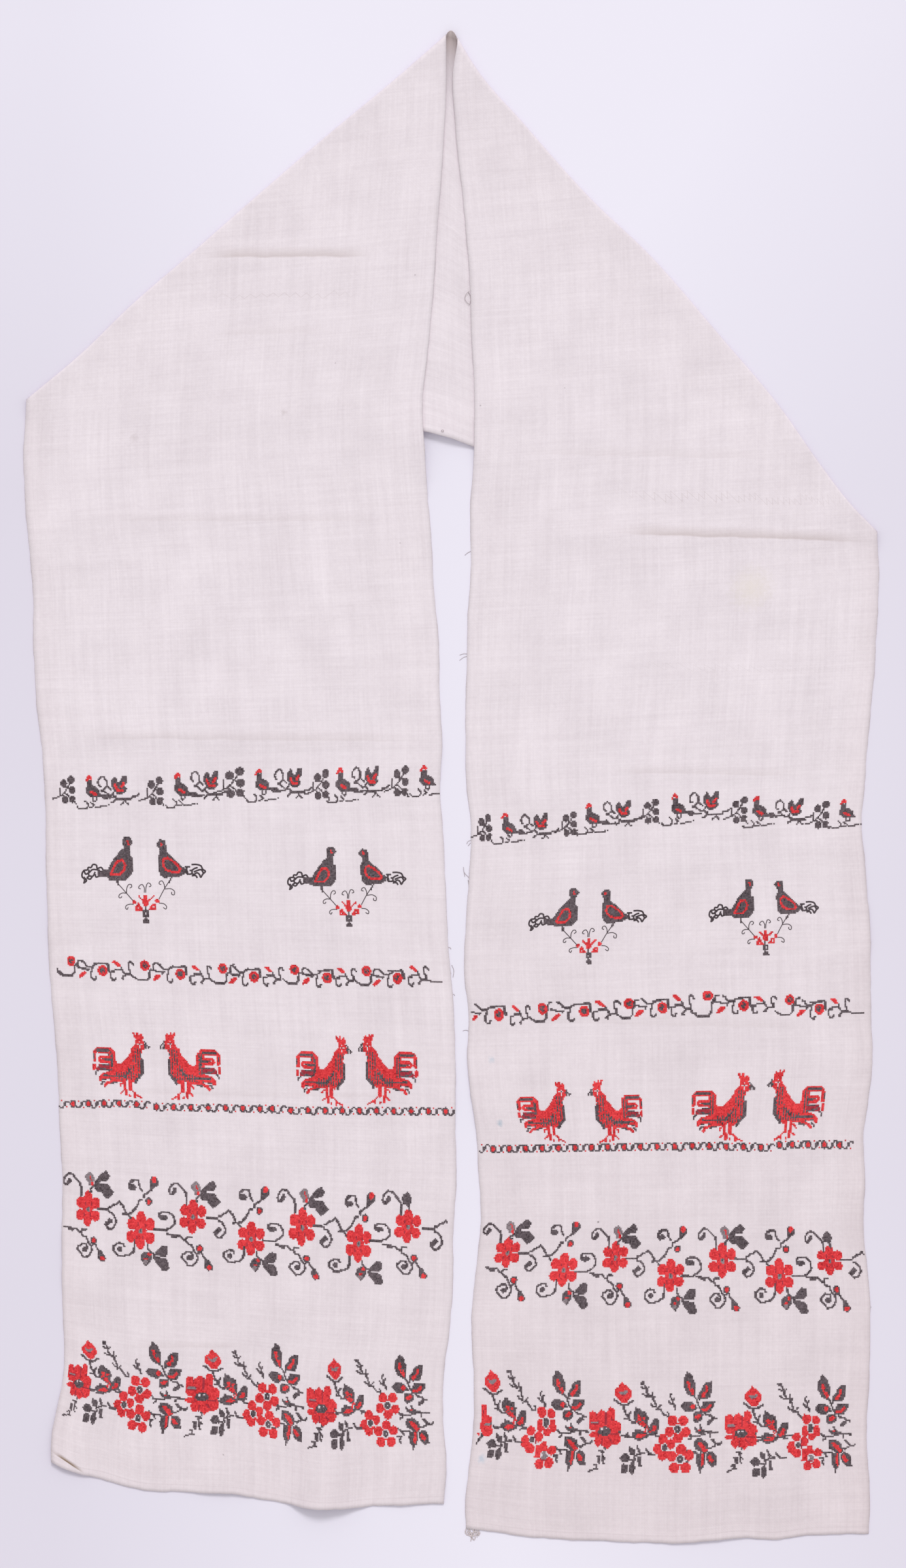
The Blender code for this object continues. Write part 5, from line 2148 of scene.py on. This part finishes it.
# Stray ends of linen thread. Each row has heights at the start and the end and a width, in millimetres, and a shade
# from 0 to 1, then the points of its threads in chart threads.
LOOSE_THREADS = """
    0.5 0.25 0.5 0.3: 716 1001 708 1001 703 1003, 716 1004 708 1007 703 1011, 722 1286 716 1288 714 1292, \
            720 1290 716 1295
    0.5 0.25 0.5 0.3: 717 1343 710 1335 709 1327, 709 1330 711 1342, 716 1347 717 1355, 717 1578 712 1577 708 1578
    0.6 0.25 0.5 0.3: 722 843 716 846 711 850, 686 1450 689 1451 690 1453, 691 1477 694 1485 693 1496, \
            688 1484 690 1490
    0.5 0.25 0.5 0.3: 690 1500 691 1510, 690 1522 694 1522 696 1524, 692 1530 693 1533 692 1537, 1329 1999 1333 2001
    0.7 0.4 1.3 0.85: 716 2337 713 2341 712 2346 715 2350, 722 2341 729 2341 733 2345 731 2350
    0.7 0.4 1.3 0.9: 718 2339 716 2343 718 2348 721 2351, 714 2345 721 2347 728 2344 732 2347, \
            720 2345 722 2352 724 2357
    0.9 0.4 1.3 0.95: 719 2340 719 2345 722 2349, 724 2341 725 2346 723 2351, 727 2341 727 2345 730 2349, \
            715 2349 722 2351 729 2349
    0.7 0.4 0.9 0.95: 732 2343 734 2346 732 2351, 726 2350 727 2354 725 2358, 719 2350 721 2355 720 2359, \
            729 2349 730 2353
    8.9 8.9 0.5 0.3: 677 658.4 678.3 659 678.7 660.3 677.8 661.5 676.4 661.7 675.4 660.6 675.7 659.2 676.8 658.5
    3.2 1.6 0.5 0.3: 718 446 713 451 711 457 714 463 718 466 720 460 719 452 716 447
    """


@dataclass
class LooseThreads:
    """The stray ends that hang from the selvedges and from the right hem's corner, as one joined mesh."""

    towel: LaidTowel
    finish: ThreadFinish = ThreadFinish("frayed_linen_thread", "a2969b", "e6dadb")
    rise: float = 0.3
    smoothness: int = 6

    def build(self) -> bpy.types.Object:
        """Lay every thread along its points, with its height going evenly from its start to its end.

        Returns:
            The joined threads.
        """
        joined = Joined()
        for row in LOOSE_THREADS.strip().splitlines():
            sizes, paths = row.split(":")
            start, stop, width, shade = (float(word) for word in sizes.split())
            for path in paths.split(","):
                spots = np.array(path.split(), float).reshape(-1, 2)
                plan = (spots - CHART_MIDDLE) * (CHART_THREAD, -CHART_THREAD)
                heights = np.linspace(start * MM, stop * MM, len(plan))
                middle = smooth_path(np.column_stack([plan, heights]) + self.towel.shift,
                                     self.smoothness * len(plan))
                joined.add(*thread_tube(middle, width * MM, self.rise * (width * MM)), 0, shade)
        LOG.info("loose threads: %d points", joined.total)
        return joined.piece("loose_threads", [self.finish.material()])


# ---- surroundings ----

@dataclass
class Studio:
    """A plain pale floor, soft light from beyond the peak, and a camera straight above.

    The floor's colour holds painted fall-off of light: darker out to both sides and lighter beyond the peak. It has
    slow clouds too. Lengths are in metres.
    """

    floor_lit: str = "efebf7"
    floor_shaded: str = "e0dae7"
    floor_roughness: float = 0.95
    floor_specular: float = 0.1
    floor_middle: float = 0.06
    floor_aside: tuple[float, float] = (0.0, 0.45)
    aside_falloff: tuple[float, float] = (-0.1, 0.72)
    floor_beyond: tuple[float, float] = (0.3, 0.75)
    beyond_falloff: tuple[float, float] = (0.0, -0.6)
    cloud_scale: float = 1.5
    cloud_share: float = 0.4
    floor_half: float = 6.0
    floor_points: int = 13
    floor_drop: float = 0.05 * MM
    key_place: tuple[float, float, float] = (0.15, 2.6, 3.1)
    key_spread: float = 0.35
    key_strength: float = 1.18
    air_strength: float = 0.715
    image: tuple[int, int] = (1386, 2400)
    middle: tuple[float, float] = (690.3, 1205.2)
    distance: float = 6.0
    sensor: float = 36.0

    def paint(self) -> bpy.types.Material:
        """Build the floor's matt pale paint: an even ground whose slow change of tone is painted fall-off of light.

        Returns:
            The material.
        """
        shading = Shading("painted_studio_floor")
        where = shading.place()
        cloud = shading.noise(where, self.cloud_scale)
        across, up = (shading.add("ShaderNodeSeparateXYZ", {0: where}, axis) for axis in ("X", "Y"))
        # Painted fall-off of light: darker out to both sides and lighter beyond the peak
        aside = shading.calc("ABSOLUTE", shading.calc("SUBTRACT", across, self.floor_middle))
        aside = shading.ramp(aside, *self.floor_aside, *self.aside_falloff)
        beyond = shading.ramp(up, *self.floor_beyond, *self.beyond_falloff)
        shade = shading.calc("MULTIPLY_ADD", cloud, self.cloud_share, shading.calc("ADD", aside, beyond), clamp=True)
        colour = shading.mix(shade, linear(self.floor_lit), linear(self.floor_shaded))
        return shading.finish(colour, self.floor_roughness, self.floor_specular)

    def floor(self) -> None:
        """Lay the floor, a square grid with its middle under the towel."""
        count = self.floor_points
        side = np.linspace(-self.floor_half, self.floor_half, count)
        level = np.full((count, count), -self.floor_drop)
        grid = np.stack([*np.meshgrid(side, side, indexing="ij"), level], axis=-1)
        index = np.arange(count * count).reshape(count, count)
        faces = np.stack([index[:-1, :-1], index[1:, :-1], index[1:, 1:], index[:-1, 1:]], axis=-1)
        make_piece("floor", grid.reshape(-1, 3), faces.reshape(-1, 4), [self.paint()])

    def light(self, name: str, place: tuple[float, float, float], spread: float, strength: float) -> None:
        """Hang a wide even light that shines from a place towards the towel's middle.

        Args:
            name: the light's name.
            place: the direction it comes from.
            spread: how wide it looks, in radians, which softens the shadows.
            strength: its strength.
        """
        data = bpy.data.lights.new(name, "SUN")
        data.angle, data.energy = spread, strength
        light = bpy.data.objects.new(name, data)
        light.location = place
        light.rotation_mode = "QUATERNION"
        light.rotation_quaternion = (-Vector(place)).to_track_quat("-Z", "Y")
        bpy.context.scene.collection.objects.link(light)

    def camera(self) -> None:
        """Aim the camera straight down, far off and long, so that the flat towel has the photograph's scale."""
        width, height = self.image
        data = bpy.data.cameras.new("camera")
        data.sensor_width = self.sensor
        data.lens = self.sensor * self.distance / (height * CHART_THREAD)
        camera = bpy.data.objects.new("camera", data)
        camera.location = ((width / 2 - self.middle[0]) * CHART_THREAD,
                           (self.middle[1] - height / 2) * CHART_THREAD, self.distance)
        bpy.context.scene.collection.objects.link(camera)
        bpy.context.scene.camera = camera

    def build(self) -> None:
        """Set up floor, lights, sky and camera."""
        self.floor()
        self.light("key_light", self.key_place, self.key_spread, self.key_strength)
        world = bpy.data.worlds.new("studio_air")
        world.use_nodes = True
        shade = world.node_tree.nodes["Background"]
        shade.inputs["Color"].default_value = (1.0, 1.0, 1.0, 1.0)
        shade.inputs["Strength"].default_value = self.air_strength
        bpy.context.scene.world = world
        bpy.context.scene.view_settings.view_transform = "Standard"
        self.camera()
        LOG.info("studio: floor, light and camera")


def main() -> None:
    """Build the towel and its surroundings in order."""
    logging.basicConfig(level=logging.INFO, format="%(name)s: %(message)s")
    Studio().build()
    towel = LaidTowel()
    cloth = LinenCloth(towel).build()
    cottons = [finish.material() for finish in THREAD_FINISHES.values()]
    rows = []
    for band, cell in ((towel.left, LEFT_CELL), (towel.right, RIGHT_CELL)):
        end = CountedEnd(band, cell)
        end.chart()
        rows += CrossStitches(towel, end).build(cottons)
    rows.append(LooseThreads(towel).build())


if __name__ == "__main__":
    main()
